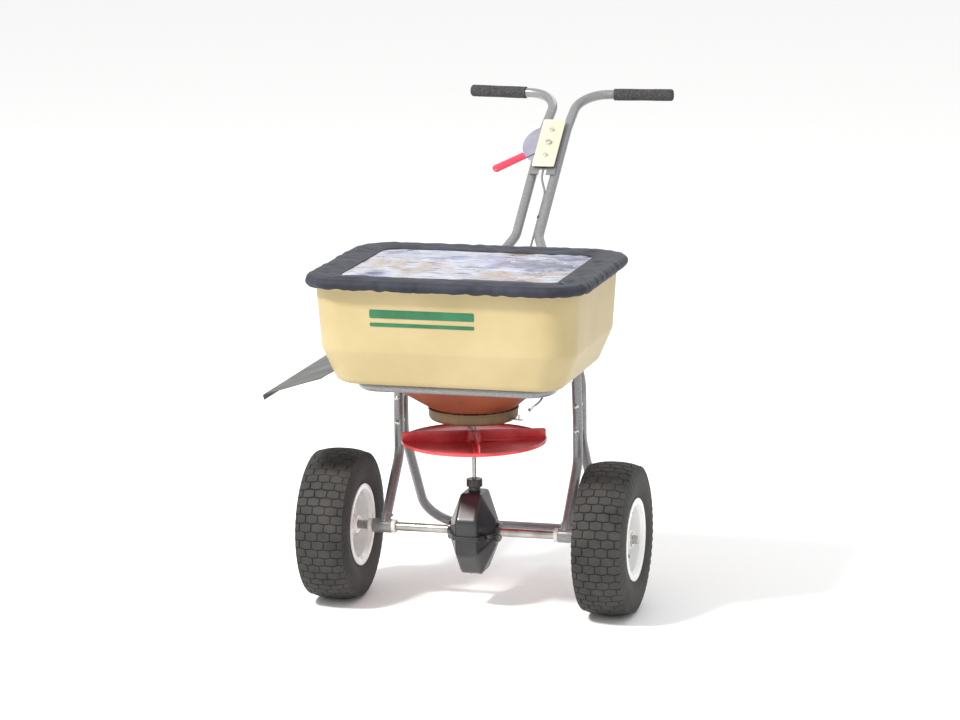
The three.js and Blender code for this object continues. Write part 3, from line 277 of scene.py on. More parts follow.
# galvanised sheet: long streaks down the slope over soft blotches
sheetFinish = Finish("streaked_sheet", (0.3, 0.3, 0.3), 0.42, metallic=0.7)
streaks = sheetFinish.noise(14, 6, 0.62, 0.5, sheetFinish.stretched((0.12, 1.0, 0.12)))
sheetFinish.colour(
    sheetFinish.ramp(
        streaks, [(0.3, (0.030, 0.033, 0.030)), (0.5, (0.095, 0.100, 0.094)), (0.72, (0.27, 0.28, 0.265))]
    )
)
sheetFinish.bump(streaks, 0.4, 0.4).roughness(streaks, 0.3, 0.56)

# cover cloth: navy charcoal coated fabric with a fine weave
coverFinish = Finish("coated_cloth", (0.02, 0.024, 0.036), 0.62, specular=0.28)
weave = coverFinish.node("ShaderNodeTexChecker", Scale=1400)
coverFinish.link(coverFinish.where, weave.inputs["Vector"])
fade = coverFinish.noise(75, 6, 0.6)
coverFinish.colour(coverFinish.ramp(fade, [(0.3, (0.009, 0.010, 0.017)), (0.72, (0.032, 0.036, 0.054))]))
coverFinish.bump(coverFinish.noise(9, 4, 0.6, 0.6), 1.2, 0.5).bump(weave.outputs["Fac"], 0.12, 0.5)
coverFinish.roughness(fade, 0.5, 0.75)
coverFinish.shader.inputs["Sheen Weight"].default_value = 0.06

# clear vinyl: half seen through; its colour is painted reflection of the sky and surroundings in soft swirls,
# with painted dark reflections along its creases
windowFinish = Finish("clear_vinyl", (0.60, 0.62, 0.74), 0.14, coat=0.8)
reflectionSwirl = windowFinish.noise(190, 3, 0.5, 0.9, windowFinish.stretched((0.6, 1.3, 1.0), (0, 0, 0.3)))
paintedReflection = windowFinish.ramp(reflectionSwirl, [
    (0.36, (0.07, 0.08, 0.18)), (0.44, (0.32, 0.345, 0.51)), (0.52, (0.50, 0.52, 0.63)),
    (0.59, (0.35, 0.28, 0.22)), (0.68, (0.44, 0.43, 0.51)),
])
creases = windowFinish.noise(46, 8, 0.62, 1.6, windowFinish.stretched((0.35, 1.5, 1.0), (0, 0, 0.25)))
# painted dark reflections: the crease lines blend the painted reflection to dark navy
creaseReflectionMask = windowFinish.ramp(
    creases, [(0.36, (1, 1, 1)), (0.45, (0, 0, 0)), (0.58, (0, 0, 0)), (0.68, (0.6, 0.6, 0.6))]
)
windowFinish.colour(windowFinish.blendColours(creaseReflectionMask, paintedReflection, (0.07, 0.075, 0.14)))
windowFinish.bump(windowFinish.noise(34, 5, 0.55, 0.8), 1.6, 0.5)
windowFinish.shader.inputs["Alpha"].default_value = 0.86

floorFinish = Finish("floor", (0.98, 0.98, 0.98), 0.9)
floorFinish.bump(floorFinish.noise(30, 2), 0.05, 0.2)
print("finishes made")


# shapes worked out as whole arrays
def unit(vectors):
    return vectors / np.linalg.norm(vectors, axis=-1, keepdims=True)


# faces of a grid of rows by cols, each cell one quad
def gridFaces(rows, cols, closeRows, closeCols):
    i = np.arange(rows if closeRows else rows - 1)[:, None]
    j = np.arange(cols if closeCols else cols - 1)[None, :]
    ahead, above = (j + 1) % cols, (i + 1) % rows * cols
    return np.stack([i * cols + j, i * cols + ahead, above + ahead, above + j + 0 * i], -1).reshape(-1, 4)


def volume(verts, quads, tris):
    corners = np.vstack([quads[:, [0, 1, 2]], quads[:, [0, 2, 3]], tris])
    a, b, c = (verts[corners[:, k]] for k in range(3))
    return np.einsum("ij,ij->i", a, np.cross(b, c)).sum()


# a grid of points as a skin; an open end of a closed row is capped by a fan to its middle
def skin(points, closeRows=False, closeCols=True, capped=True, flip=False):
    rows, cols = points.shape[:2]
    verts = points.reshape(-1, 3)
    quads = gridFaces(rows, cols, closeRows, closeCols)
    tris = np.zeros((0, 3), int)
    if capped and not closeRows:
        j = np.arange(cols)
        k = (j + 1) % cols
        low, high = np.full(cols, rows * cols), np.full(cols, rows * cols + 1)
        last = (rows - 1) * cols
        verts = np.vstack([verts, points[0].mean(0), points[-1].mean(0)])
        tris = np.vstack([np.stack([k, j, low], -1), np.stack([last + j, last + k, high], -1)])
    if closeCols and (capped or closeRows):
        flip = volume(verts - verts.mean(0), quads, tris) < 0
    if flip:
        quads, tris = quads[:, ::-1], tris[:, ::-1]
    return verts, quads.tolist() + tris.tolist()


def joined(*parts):
    verts, faces, count = [], [], 0
    for points, polygons in parts:
        verts.append(points)
        faces += [[k + count for k in polygon] for polygon in polygons]
        count += len(points)
    return np.vstack(verts), faces


def onSide(part, sign):
    return part if sign == 1 else (part[0] * (-1, 1, 1), [face[::-1] for face in part[1]])


def moved(part, by):
    return part[0] + by, part[1]


# the part turned so that its Z axis lies along Y
def laidDown(part):
    x, y, z = part[0].T
    return np.stack([x, z, -y], -1), part[1]


# straight runs joined by round bends, in any number of dimensions, a point about every step
def roundedLine(corners, bends, closed=False, step=3.0):
    corners = np.asarray(corners, float)
    count = len(corners)
    bends = np.broadcast_to(bends, count)
    pieces = [] if closed else [corners[:1]]
    for k in range(count) if closed else range(1, count - 1):
        back, ahead = corners[k - 1] - corners[k], corners[(k + 1) % count] - corners[k]
        backLength, aheadLength = np.linalg.norm(back), np.linalg.norm(ahead)
        before, after = -back / backLength, ahead / aheadLength
        angle = math.acos(np.clip(before @ after, -1, 1))
        if angle < 1e-3 or bends[k] <= 0:
            pieces.append(corners[k][None])
            continue
        radius = min(bends[k], 0.48 * min(backLength, aheadLength) / math.tan(angle / 2))
        start = corners[k] - before * radius * math.tan(angle / 2)
        inward = unit(after - before * math.cos(angle))
        sweepAngle = np.linspace(0, angle, max(4, int(angle * radius / step) + 2))[:, None]
        pieces.append(start + radius * (before * np.sin(sweepAngle) + inward * (1 - np.cos(sweepAngle))))
    if not closed:
        pieces.append(corners[-1:])
    return np.vstack(pieces)


# the same line with points no further apart than step
def spaced(line, step, closed=False):
    if closed:
        line = np.vstack([line, line[:1]])
    length = np.concatenate([[0], np.cumsum(np.linalg.norm(np.diff(line, axis=0), axis=1))])
    at = np.linspace(0, length[-1], max(3, int(length[-1] / step) + 1))
    even = np.stack([np.interp(at, length, column) for column in line.T], -1)
    return even[:-1] if closed else even


# a circle of the given radii carried along a path, each ring square to it
def tube(path, radii, sides=20, closed=False):
    path = np.asarray(path, float)
    if closed:
        tangent = unit(np.roll(path, -1, 0) - np.roll(path, 1, 0))
    else:
        tangent = unit(np.gradient(path, axis=0))
    side = np.empty_like(path)
    current = np.eye(3)[np.argmin(np.abs(tangent[0]))]
    for k, along in enumerate(tangent):
        current = current - along * (current @ along)
        current = current / np.linalg.norm(current)
        side[k] = current
    other = np.cross(tangent, side)
    angle = np.arange(sides) * tau / sides
    radii = np.broadcast_to(radii, len(path))[:, None, None]
    ring = np.cos(angle)[None, :, None] * side[:, None] + np.sin(angle)[None, :, None] * other[:, None]
    return skin(path[:, None] + radii * ring, closeRows=closed)


# a bar with softly rounded ends between two points
def bar(start, end, radius, edge=1.0, sides=24):
    start, end = np.asarray(start, float), np.asarray(end, float)
    length = np.linalg.norm(end - start)
    edge = min(edge, length / 3)
    arc = np.linspace(0, math.pi / 2, 5)
    out = edge * (1 - np.cos(arc))
    at = np.concatenate([out, length - out[::-1]]) / length
    radii = np.concatenate([radius - edge + edge * np.sin(arc), (radius - edge + edge * np.sin(arc))[::-1]])
    return tube(start + (end - start) * at[:, None], radii, sides)


# a (radius, height) profile turned about Z; axis "X" lays it along X
def turned(profile, count, closed=True, axis="Z"):
    radius, height = np.asarray(profile, float).T
    angle = np.arange(count) * tau / count
    across, along = radius[:, None] * np.cos(angle), radius[:, None] * np.sin(angle)
    up = height[:, None] + 0 * angle
    points = np.stack([across, along, up] if axis == "Z" else [up, across, along], -1)
    return skin(points, closeRows=closed)


# rectangles with round corners, one ring for each row of (halfX, halfY, z, corner, centreY)
def ringGrid(levels, cornerSteps=14, sideSteps=22):
    halfX, halfY, z, corner, centreY = (
        np.asarray(column)[:, None] for column in np.asarray(levels, float).T
    )
    parts = []
    for k, (signX, signY) in enumerate([(1, 1), (-1, 1), (-1, -1), (1, -1)]):
        angle = (k + np.linspace(0, 1, cornerSteps)[None]) * math.pi / 2
        x = signX * (halfX - corner) + corner * np.cos(angle)
        y = signY * (halfY - corner) + corner * np.sin(angle) + centreY
        parts.append(np.stack([x, y], -1))
    share = (np.arange(1, sideSteps) / sideSteps)[None, :, None]
    rows = []
    for k in range(4):
        nextPart = parts[(k + 1) % 4]
        rows += [parts[k], parts[k][:, -1:] * (1 - share) + nextPart[:, :1] * share]
    flat = np.concatenate(rows, 1)
    return np.concatenate([flat, np.broadcast_to(z[:, :, None], (*flat.shape[:2], 1))], -1)


# a flat outline given thickness, its edges eased by a small round
def slabOf(outline, low, high, edge=0.8):
    outline = np.asarray(outline, float)
    along = unit(np.roll(outline, -1, 0) - np.roll(outline, 1, 0))
    out = np.stack([along[:, 1], -along[:, 0]], -1)
    if (out * (outline - outline.mean(0))).sum() < 0:
        out = -out
    arc = np.linspace(0, math.pi / 2, 4)
    inset = np.concatenate([edge * (1 - np.sin(arc)), (edge * (1 - np.sin(arc)))[::-1]])
    z = np.concatenate([low + edge * (1 - np.cos(arc)), (high - edge * (1 - np.cos(arc)))[::-1]])
    flat = outline[None] - inset[:, None, None] * out[None]
    return skin(np.concatenate([flat, np.broadcast_to(z[:, None, None], (*flat.shape[:2], 1))], -1))


# the sum of many random waves, about -1 to 1, over a set of points
def waves(points, shortest, longest, seed, count=24, stretch=None):
    dice = np.random.default_rng(seed)
    size = np.exp(dice.uniform(np.log(shortest), np.log(longest), count))
    way = unit(dice.normal(size=(count, points.shape[-1])))
    if stretch is not None:
        way = way * np.asarray(stretch)
    phase = dice.uniform(0, tau, count)
    height = np.sin(points @ (way * (tau / size)[:, None]).T + phase) * size
    return height.sum(-1) / np.sqrt((size ** 2).sum())


def addPiece(name, part, finish, body, stands=(), sharp=32.0):
    verts, faces = part
    mesh = bpy.data.meshes.new(name)
    mesh.from_pydata(place(verts).tolist(), [], faces)
    mesh.polygons.foreach_set("use_smooth", np.ones(len(mesh.polygons), bool))
    mesh.set_sharp_from_angle(angle=math.radians(sharp))
    mesh.materials.append(finish.material)
    mesh.update()
    piece = bpy.data.objects.new(name, mesh)
    bpy.context.scene.collection.objects.link(piece)
    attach(piece, body)
    if stands:
        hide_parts(*stands)
    return piece


def finishNodes(finish, *names):
    for name in names:
        mesh = nodes[name].data
        mesh.materials.clear()
        mesh.materials.append(finish.material)


floorSize = 70.0
floorMesh = bpy.data.meshes.new("floor")
floorMesh.from_pydata(
    [(x * floorSize, y * floorSize, 0) for x, y in ((-1, -1), (1, -1), (1, 1), (-1, 1))], [], [(0, 1, 2, 3)]
)
floorMesh.materials.append(floorFinish.material)
floor = bpy.data.objects.new("floor", floorMesh)
bpy.context.scene.collection.objects.link(floor)

# wheels
wheel = {
    "track": 305.5, "radius": 165.0, "half": 57.4, "bead": 49.4, "flange": 90.6, "crown": 7.0,
    "blockPitch": 27.5, "rows": 54, "crossGroove": 1.0, "ringGroove": 0.7, "depth": 3.0, "scallop": 0.13,
    "around": 972, "treadSteps": 65, "wallSteps": 12,
}


# the tyre: an arch of sidewall, shoulder and crown turned about the axle; each point moves in towards the
# axle near a cross groove, whose edge bulges at the middle of each block, or a short ring groove, which
# shifts by half a block from one row to the next
def tyre(sign):
    w = wheel
    shoulder = w["radius"] - w["crown"]
    wall = np.linspace(0, 1, w["wallSteps"])
    wallX = w["bead"] + (w["half"] - w["bead"]) * np.sin(math.pi * np.clip(wall * 0.93, 0, 1)) ** 0.8
    wallR = w["flange"] + (shoulder - w["flange"]) * wall
    # nine points to each half block, so that every ring groove falls on a point
    treadX = (np.arange(w["treadSteps"]) - w["treadSteps"] // 2) * -w["blockPitch"] / 18
    treadR = w["radius"] - w["crown"] * np.abs(treadX / w["bead"]) ** 2.4
    x = np.concatenate([wallX, treadX, -wallX[::-1]])
    r = np.concatenate([wallR, treadR, wallR[::-1]])
    angle = np.arange(w["around"]) * tau / w["around"]
    xAt, angleAt = np.meshgrid(x, angle, indexing="ij")
    radiusAt = np.repeat(r[:, None], w["around"], 1)
    pitch = tau * w["radius"] / w["rows"]
    arc = angleAt * w["rows"] / tau
    column = xAt / w["blockPitch"]

    def edgeOf(row):
        return row + w["scallop"] * np.abs(np.sin(math.pi * (column + 0.5 * ((row - 1) % 2))))

    rowNumber = np.floor(arc)
    rowNumber = rowNumber - (edgeOf(rowNumber) > arc)
    toRow = np.minimum(arc - edgeOf(rowNumber), edgeOf(rowNumber + 1) - arc) * pitch
    stagger = column + 0.5 * (rowNumber % 2)
    toColumn = np.abs(stagger - np.round(stagger)) * w["blockPitch"]
    groove = np.maximum(1 - np.clip(toRow / w["crossGroove"] - 0.5, 0, 1),
                       0.85 * (1 - np.clip(toColumn / w["ringGroove"] - 0.5, 0, 1)))
    onTread = np.clip(
        (w["bead"] + 6 - np.abs(xAt)) / 5, 0, 1
    ) * np.clip((radiusAt - shoulder + 14) / 8, 0, 1)
    radiusAt = radiusAt - w["depth"] * groove * onTread
    ribs = 0.7 * np.clip(
        np.cos((radiusAt - w["flange"]) * tau / 9.0) * 3, -1, 1
    ) * (radiusAt < shoulder - 16) * (radiusAt > w["flange"] + 4)
    xAt = xAt + np.sign(xAt) * ribs * 0.4
    lugs = np.clip(np.cos(arc * tau / 1.0) * 3, -1, 1) * np.clip(
        (radiusAt - shoulder + 22) / 10, 0, 1
    ) * np.clip((shoulder - 1 - radiusAt) / 4, 0, 1)
    xAt = xAt + np.sign(xAt) * 0.5 * lugs
    outer = np.stack(
        [sign * w["track"] + xAt, radiusAt * np.cos(angleAt), radiusAt * np.sin(angleAt) + axleZ], -1
    )
    beadEdge = [(w["bead"] - 1.0, 75.0), (-w["bead"] + 1.0, 75.0)]
    inner = [
        np.stack([sign * w["track"] + 0 * angle + bx, br * np.cos(angle), br * np.sin(angle) + axleZ], -1)
        for bx, br in reversed(beadEdge)
    ]
    return skin(np.concatenate([outer, np.stack(inner)]), closeRows=True)


# the rim: a folded sheet profile with rounded corners turned about the axle; X is counted outwards
def rim(sign):
    profile = [
        (10.2, -42), (20, -42), (20, -16), (26, -9.5), (58, -9.5), (70.5, -14), (70.5, -44), (77, -52.6), (
            89.6, -52.6
        ),
        (
            89.6, -49.6
        ), (79, -49.6), (73.8, -44), (73.8, 44), (79, 49.6), (89.6, 49.6), (89.6, 52.6), (77, 52.6),
        (70.5, 44), (70.5, -6), (58, -5.5), (26, -6), (20, -2), (20, 42), (10.2, 42),
    ]
    line = roundedLine(
        profile, [0.6, 2, 5, 5, 8, 4, 6, 4, 1.2, 1.2, 4, 4, 4, 4, 1.2, 1.2, 5, 6, 7, 7, 6, 5, 2, 0.6], True,
        1.5
    )
    line[:, 1] *= sign
    return moved(turned(line, 96, axis="X"), (sign * wheel["track"], 0, axleZ))


for side, sign, body in (("left", 1, "drive_axle"), ("right", -1, "free_wheel")):
    addPiece(f"{side}_turf_tyre", tyre(sign), tyreFinish, body, [f"{side}_tyre"], 60)
    addPiece(f"{side}_wheel_rim", rim(sign), rimFinish, body, [f"{side}_rim"], 40)
finishNodes(blackFinish, "left_valve_stem", "right_valve_stem")
finishNodes(zincFinish, "left_axle_washer", "right_axle_washer", "drive_pin")
axleHalf = (axleHigh.x - axleLow.x) * 500
addPiece(
    "axle_bar", bar((-axleHalf, 0, axleZ), (axleHalf, 0, axleZ), 9.5, 1.2, 32), barFinish, "drive_axle",
    ["axle"]
)
print("wheels made")

# frame tubes
steel = {
    "radius": 11.0, "half": 202.0, "bend": 55.0, "ringZ": 512.0, "ringX": 205.0, "ringY": 147.0,
    "centreY": -29.0, "frontY": 112.0, "rearY": 148.0, "legBend": 300.0, "splitZ": 399.5, "splitGap": 0.2,
    "face": 11.3, "kneeZ": 346.0, "kneeBend": 85.0, "standY": 327.0, "standZ": 95.0, "flareEnd": 475.0,
    "flareY": 462.0, "gripKnee": 728.0, "gripBend": 76.0,
    "handleHalf": 26.5, "anchorY": 600.0, "anchorZ": 840.5, "lean": 52.0, "gripY": 857.0, "gripZ": 1005.0,
    "gripSweep": 6.5, "gripStart": 107.0, "gripEnd": 242.0, "gripRadius": 14.0,
}
s = steel
lean = math.radians(s["lean"])
handleUp = np.array([0, math.sin(lean), math.cos(lean)])


def handlePoint(y):
    return s["handleHalf"], y, s["anchorZ"] + (y - s["anchorY"]) / math.tan(lean)


def gripPoint(x):
    return np.array(
        [x, s["gripY"] + (x - s["handleHalf"]) * math.tan(math.radians(s["gripSweep"])), s["gripZ"]]
    )


def bentTube(corners, bends, radius, closed=False):
    line = roundedLine(corners, bends, closed, 3.0)
    return tube(spaced(line, 6.0, closed), radius, 24, closed)


# a bead of weld: a lumpy ring round a joint
def weld(centre, normal, radius, seed):
    angle = np.arange(40) * tau / 40
    normal = unit(np.asarray(normal, float))
    first = unit(np.cross(normal, (0.3, 0.5, 0.8)))
    ring = np.cos(angle)[:, None] * first + np.sin(angle)[:, None] * np.cross(normal, first)
    lumps = 1.9 + 0.5 * np.sin(angle * 11 + seed)
    return tube(np.asarray(centre, float) + radius * ring, lumps, 10, True)


ringLine = ringGrid([[s["ringX"], s["ringY"], s["ringZ"], 50.0, s["centreY"]]], 16, 14)[0]
addPiece("hopper_ring_tube", joined(tube(ringLine, s["radius"], 24, True),
                                    tube(
                                        [(-64, -176, 520.5), (-40, -178.5, 521.5), (-16, -176, 520.5)],
                                        (1.2, 2.6, 1.2), 10,
                                    )),
         frameFinish, "frame", ["hopper_ring"])
half, frontY, rearY = s["half"], s["frontY"], s["rearY"]
legCorners = [
    (half - 3, frontY, s["ringZ"] - 7), (half, frontY, 400), (half, frontY, s["legBend"]), (half, -4, 171)
]
handleCorners = [
    (half, rearY, s["splitZ"] + s["splitGap"]), (half, rearY, s["flareEnd"]), handlePoint(s["flareY"]),
    handlePoint(s["gripKnee"]), gripPoint(s["handleHalf"]), gripPoint(s["gripEnd"] - 6),
]
standHalf = [(rearY, s["splitZ"] - s["splitGap"]), (rearY, s["kneeZ"]), (s["standY"], s["standZ"])]
standCorners = [(-half, y, z) for y, z in standHalf] + [(half, y, z) for y, z in standHalf[::-1]]
# the sleeve that carries the axle bush: a short thick ring
sleeve = moved(
    turned(roundedLine([(13.4, 187), (15.5, 187), (15.5, 230), (13.4, 230)], 0.7, True, 0.5), 40, axis="X"),
    (0, 0, axleZ)
)
legParts = joined(
    bentTube(legCorners, s["bend"], s["radius"]), sleeve,
    weld((half, 13, 187), (0, 0.6, 0.8), 11.4, 1), weld(
        (half - 2, frontY, s["ringZ"] - 12), (0, 0, 1), 11.4, 4
    ),
)
handleParts = bentTube(handleCorners, [0, s["bend"], s["bend"], s["bend"], s["gripBend"], 0], s["radius"])
for side, sign in (("left", 1), ("right", -1)):
    addPiece(f"{side}_leg_tube", onSide(legParts, sign), frameFinish, "frame", [f"{side}_leg"])
    addPiece(
        f"{side}_handle", onSide(handleParts, sign), frameFinish, "frame", [f"{side}_handle_tube"]
    )
standBends = [0, s["bend"], s["kneeBend"], s["kneeBend"], s["bend"], 0]
standPart = bentTube(standCorners, standBends, s["radius"])
addPiece("stand", standPart, frameFinish, "frame", ["stand_tube"])


# a foam sleeve with domed ends: straight along the bar, closing in a quarter round
def grip():
    way = unit(gripPoint(s["gripEnd"]) - gripPoint(s["gripStart"]))
    start, end = gripPoint(s["gripStart"]) - way * 2, gripPoint(s["gripEnd"]) + way * 2
    length = np.linalg.norm(end - start)
    arc = np.linspace(0, math.pi / 2, 7)
    inner, outer = 3.0, 7.0
    at = np.concatenate(
        [inner * (1 - np.cos(arc)), np.linspace(6, length - 12, 24), length - outer * (1 - np.sin(arc))]
    )
    radii = np.concatenate([s["gripRadius"] - inner * (1 - np.sin(arc)), np.full(24, s["gripRadius"]),
                            s["gripRadius"] - outer * (1 - np.cos(arc))])
    radii[7:31] += 0.25 * np.sin(np.linspace(0, 9, 24)) - 0.3
    return tube(start + way * at[:, None], np.minimum(radii, s["gripRadius"] - 0.1), 36)


gripPart = grip()
for side, sign in (("left", 1), ("right", -1)):
    addPiece(f"{side}_foam_grip", onSide(gripPart, sign), gripFinish, "frame", [f"{side}_grip"])
print("frame made")


# bolts: six-sided or domed head with eased corners, shank, nut and tip
def boltBetween(headFace, nutFace, radius, domed=False):
    headFace, nutFace = np.asarray(headFace, float), np.asarray(nutFace, float)
    along = unit(nutFace - headFace)
    first = unit(np.cross(along, (0.21, 0.35, 0.9)))
    second = np.cross(along, first)
    angle = np.arange(48) * tau / 48
    direction = np.cos(angle)[:, None] * first + np.sin(angle)[:, None] * second
    hexagon = math.cos(math.pi / 6) / np.cos((angle + math.pi / 6) % (math.pi / 3) - math.pi / 6)
    headHeight = radius * 1.3

    def block(base, way, height, crown):
        flat, wide = radius * 1.62 * np.ones(48), radius * 1.86 * hexagon
        rows = [wide, wide, np.minimum(wide, flat * 1.04), flat * 0.9] if not crown else [
            radius * 1.86 * np.cos(a) * np.ones(48) for a in (0, 0.35, 0.7, 1.1, 1.4)]
        heights = [0, height * 0.78, height * 0.94, height] if not crown else [
            height * math.sin(a) for a in (0, 0.35, 0.7, 1.1, 1.4)]
        points = [base + way * h + direction * r[:, None] for r, h in zip(rows, heights)]
        return skin(np.stack(points))

    return joined(
        block(headFace, -along, headHeight, domed),
        block(nutFace, along, headHeight * 1.2, False),
        bar(headFace - along * radius / 2, nutFace + along * radius * 2.3, radius, 0.5, 20),
    )


for side, sign in (("left", 1), ("right", -1)):
    for which, z in (("upper", 427.0), ("lower", 372.0)):
        x = sign * half
        part = joined(
            boltBetween((x, frontY - s["face"], z), (x, rearY + s["face"], z), 3, True),
            bar((x, frontY + s["face"], z), (x, rearY - s["face"], z), 7, 0.8, 28),
        )
        addPiece(
            f"{side}_{which}_bolt", part, zincFinish, "frame", [f"{side}_{which}_leg_bolt"]
        )
    for where, x, inward in (("inner", 186.7, 1), ("outer", 230.3, -1)):
        ends = (x - inward * 9, x + inward * 14)
        profile = [(9.85, ends[0]), (15.0, ends[0]), (15.0, x), (13.0, x), (13.0, ends[1]), (9.85, ends[1])]
        line = roundedLine(profile, 0.5, True, 0.4)
        line[:, 1] *= sign
        ring = moved(turned(line, 40, axis="X"), (0, 0, axleZ))
        addPiece(f"{side}_{where}_bush_ring", ring, nylonFinish, "frame", [f"{side}_{where}_bush"])
finishNodes(zincFinish, "hopper_bolt_1", "hopper_bolt_2", "hopper_bolt_3", "hopper_bolt_4")

# hopper
tub = {
    "halfX": 286.0, "halfY": 225.0, "centreY": -29.0, "wall": 4.0, "corner": 70.0, "lowCorner": 50.0,
    "creaseY": 217.0, "top": 746.0, "lip": 12.0, "reach": 7.0, "crease": 600.0, "belly": 531.0,
    "shelf": 523.9, "ledgeX": 190.0, "ledgeY": 132.0, "neck": 441.0, "neckRadius": 92.0,
}
t = tub
cy = t["centreY"]


# one ring of the tub or the cover: its half sizes grown by so much, its height and its corner
def level(size, grown, z, corner):
    return size[0] + grown, size[1] + grown, z, corner, cy


mouth, ledge = (t["halfX"], t["halfY"]), (t["ledgeX"], t["ledgeY"])
outerLevels = [
    level(ledge, 0, t["shelf"], t["lowCorner"]), level((239, 185), 0, t["shelf"], t["lowCorner"]),
    level((248, 195), 0, t["belly"], t["lowCorner"]), level(
        (278, t["creaseY"]), 0, t["crease"], t["corner"]
    ),
    level(mouth, 0, t["top"] - t["lip"], t["corner"]),
    level(mouth, t["reach"], t["top"] - t["lip"], t["corner"] + t["reach"]),
    level(mouth, t["reach"], t["top"], t["corner"] + t["reach"]),
]
innerLevels = [
    level(mouth, -t["wall"], t["top"], t["corner"] - t["wall"]),
    level((278, t["creaseY"]), -t["wall"], t["crease"] + 1, t["corner"] - t["wall"]),
    level((248, 195), -t["wall"], t["belly"] + 2, t["lowCorner"] - t["wall"]),
    level(ledge, -t["wall"], t["shelf"] + 4, t["lowCorner"] - t["wall"]),
]
wallBends = [0.5, 9, 16, 7, 5, 2.5, 3, 3, 11, 12, 2]
tubLine = roundedLine(outerLevels + innerLevels, wallBends, True, 2.0)
tubSkin = ringGrid(spaced(tubLine, 4, True), 16, 30)
# the walls of a moulded tub are never dead flat: a slow swell of half a millimetre
swell = waves(tubSkin.reshape(-1, 3), 120, 420, 3).reshape(tubSkin.shape[:2])[..., None]
outward = unit((tubSkin - np.array([0, cy, 640])) * (1, 1, 0))
tubSkin = tubSkin - outward * 0.25 * (1 + np.clip(swell, -1, 1))
addPiece("hopper_tub", skin(tubSkin, closeRows=True), hopperFinish, "frame", ["hopper"], 50)
funnelLevels = [
    level(ledge, -0.3, t["shelf"] + 0.1, 50), (t["neckRadius"], t["neckRadius"], t["neck"], 92, 0),
    (88, 88, t["neck"], 88, 0), level(ledge, -4.3, t["shelf"] + 3.8, 46),
]
funnelSkin = ringGrid(spaced(roundedLine(funnelLevels, [1, 1.5, 1.5, 1], True, 1.5), 7, True), 16, 16)
addPiece(
    "hopper_funnel_moulding", skin(funnelSkin, closeRows=True), funnelShadeFinish, "frame",
    ["hopper_funnel"], 50
)

# two plain bands on the front wall: flat outlines across X and Z, laid on the leaning wall
stripeGreen = mottled("green_print", (0.010, 0.115, 0.046), (0.014, 0.15, 0.062), 30, (0.4, 0.5))


def onFront(outline):
    verts, faces = slabOf(outline, -0.6, 0.5, 0.15)
    wallLean = (t["halfY"] - t["creaseY"]) / (t["top"] - t["lip"] - t["crease"])
    y = cy - t["creaseY"] - wallLean * (verts[:, 1] - t["crease"]) - verts[:, 2]
    return np.stack([verts[:, 0], y, verts[:, 1]], -1), faces


bands = [
    roundedLine([(-152, low), (74, low), (74, high), (-152, high)], 3, True, 1.5) for low,
    high in ((674, 692), (656, 664))
]
addPiece("front_bands", joined(*[onFront(band) for band in bands]), stripeGreen, "frame")

# outlet housing under the neck
housing = {"radius": 96.0, "top": 440.7, "floor": 415.0, "wall": 4.0, "stem": 8.5}
h = housing
housingLine = roundedLine([
    (h["stem"], h["floor"]), (h["radius"], h["floor"]), (h["radius"], h["top"] - 5), (
        h["radius"] + 1.6, h["top"] - 4
    ),
    (h["radius"] + 1.6, h["top"]), (h["radius"] - h["wall"], h["top"]), (
        h["radius"] - h["wall"], h["floor"] + 4
    ),
    (h["stem"], h["floor"] + 4),
], [0.6, 9, 1, 0.6, 0.8, 0.8, 4, 0.6], True, 1.0)
addPiece("outlet_housing", turned(housingLine, 120), housingShadeFinish, "frame", ["gate_housing"])
finishNodes(zincFinish, "gate_shutter")
finishNodes(gearFinish, "agitator", "pinion_gear", "crown_gear")
print("hopper made")

# gearbox: an eight-sided case, deeper than wide, tapering to a boss at each side
case = {
    "flat": 88.5, "depth": 0.84, "boss": 27.0, "half": 50.0, "rim": 22.5, "seam": 4.0, "sharpness": 46.0
}
g = case


def octagon(angle, flat, power):
    total = sum(np.abs(np.cos(angle - k * math.pi / 4)) ** power for k in range(4))
    return flat * total ** (-1 / power)


def caseHalf(upper):
    profile = roundedLine([(-g["half"], 0.1), (-g["half"], g["boss"]),
                           (-g["rim"], g["flat"]), (g["rim"], g["flat"]),
                           (g["half"], g["boss"]), (g["half"], 0.1)], [0, 4, 7, 7, 4, 0], False, 1.2)
    profile = spaced(profile, 2.5)
    start = 0.0 if upper else math.pi
    angle = start + np.linspace(0, math.pi, 90)
    shape = octagon(angle, 1.0, g["sharpness"])
    radius = profile[:, 1:] * shape
    x = np.repeat(profile[:, :1], len(angle), 1)
    y = radius * np.cos(angle) * g["depth"]
    z = radius * np.sin(angle)
    z = z + (0.15 if upper else -0.15)
    points = np.stack([x, y, z], -1)
    # the flat underside of the half closes the skin
    return skin(points, closeCols=True, capped=True)


slope = np.array(
    [[27.5, 79.3], [55, 27], [55, -27], [27.5, -79.3], [-27.5, -79.3], [-55, -27], [-55, 27], [-27.5, 79.3]]
)
seamOutline = roundedLine(slope, 6, True, 1.5)
boss = turned(
    roundedLine(
        [(9.9, -57), (21, -57), (21, -49), (19, -46), (19, 46), (21, 49), (21, 57), (9.9, 57)],
        [0.5, 1.5, 1.5, 1, 1, 1.5, 1.5, 0.5], True, 0.6
    ),
    48, axis="X"
)
upper = joined(
    caseHalf(True), slabOf(seamOutline, 0.15, g["seam"], 0.8),
    *[bar((sx, sy, 0.15), (sx, sy, 6.5), 6.5, 1) for sx, sy in ((47.0, -56.0), (-47.0, 56.0))],
    bar((0, 0, 84), (0, 0, 102.5), 13, 1.2, 36),
)
lower = joined(caseHalf(False), slabOf(seamOutline, -g["seam"], -0.15, 0.8),
               *[bar((k * 10, 0, -86), (k * 10, 0, -95.4), 5.5, 1.5, 20) for k in (-1, 1)])
upper = joined(upper, boss)
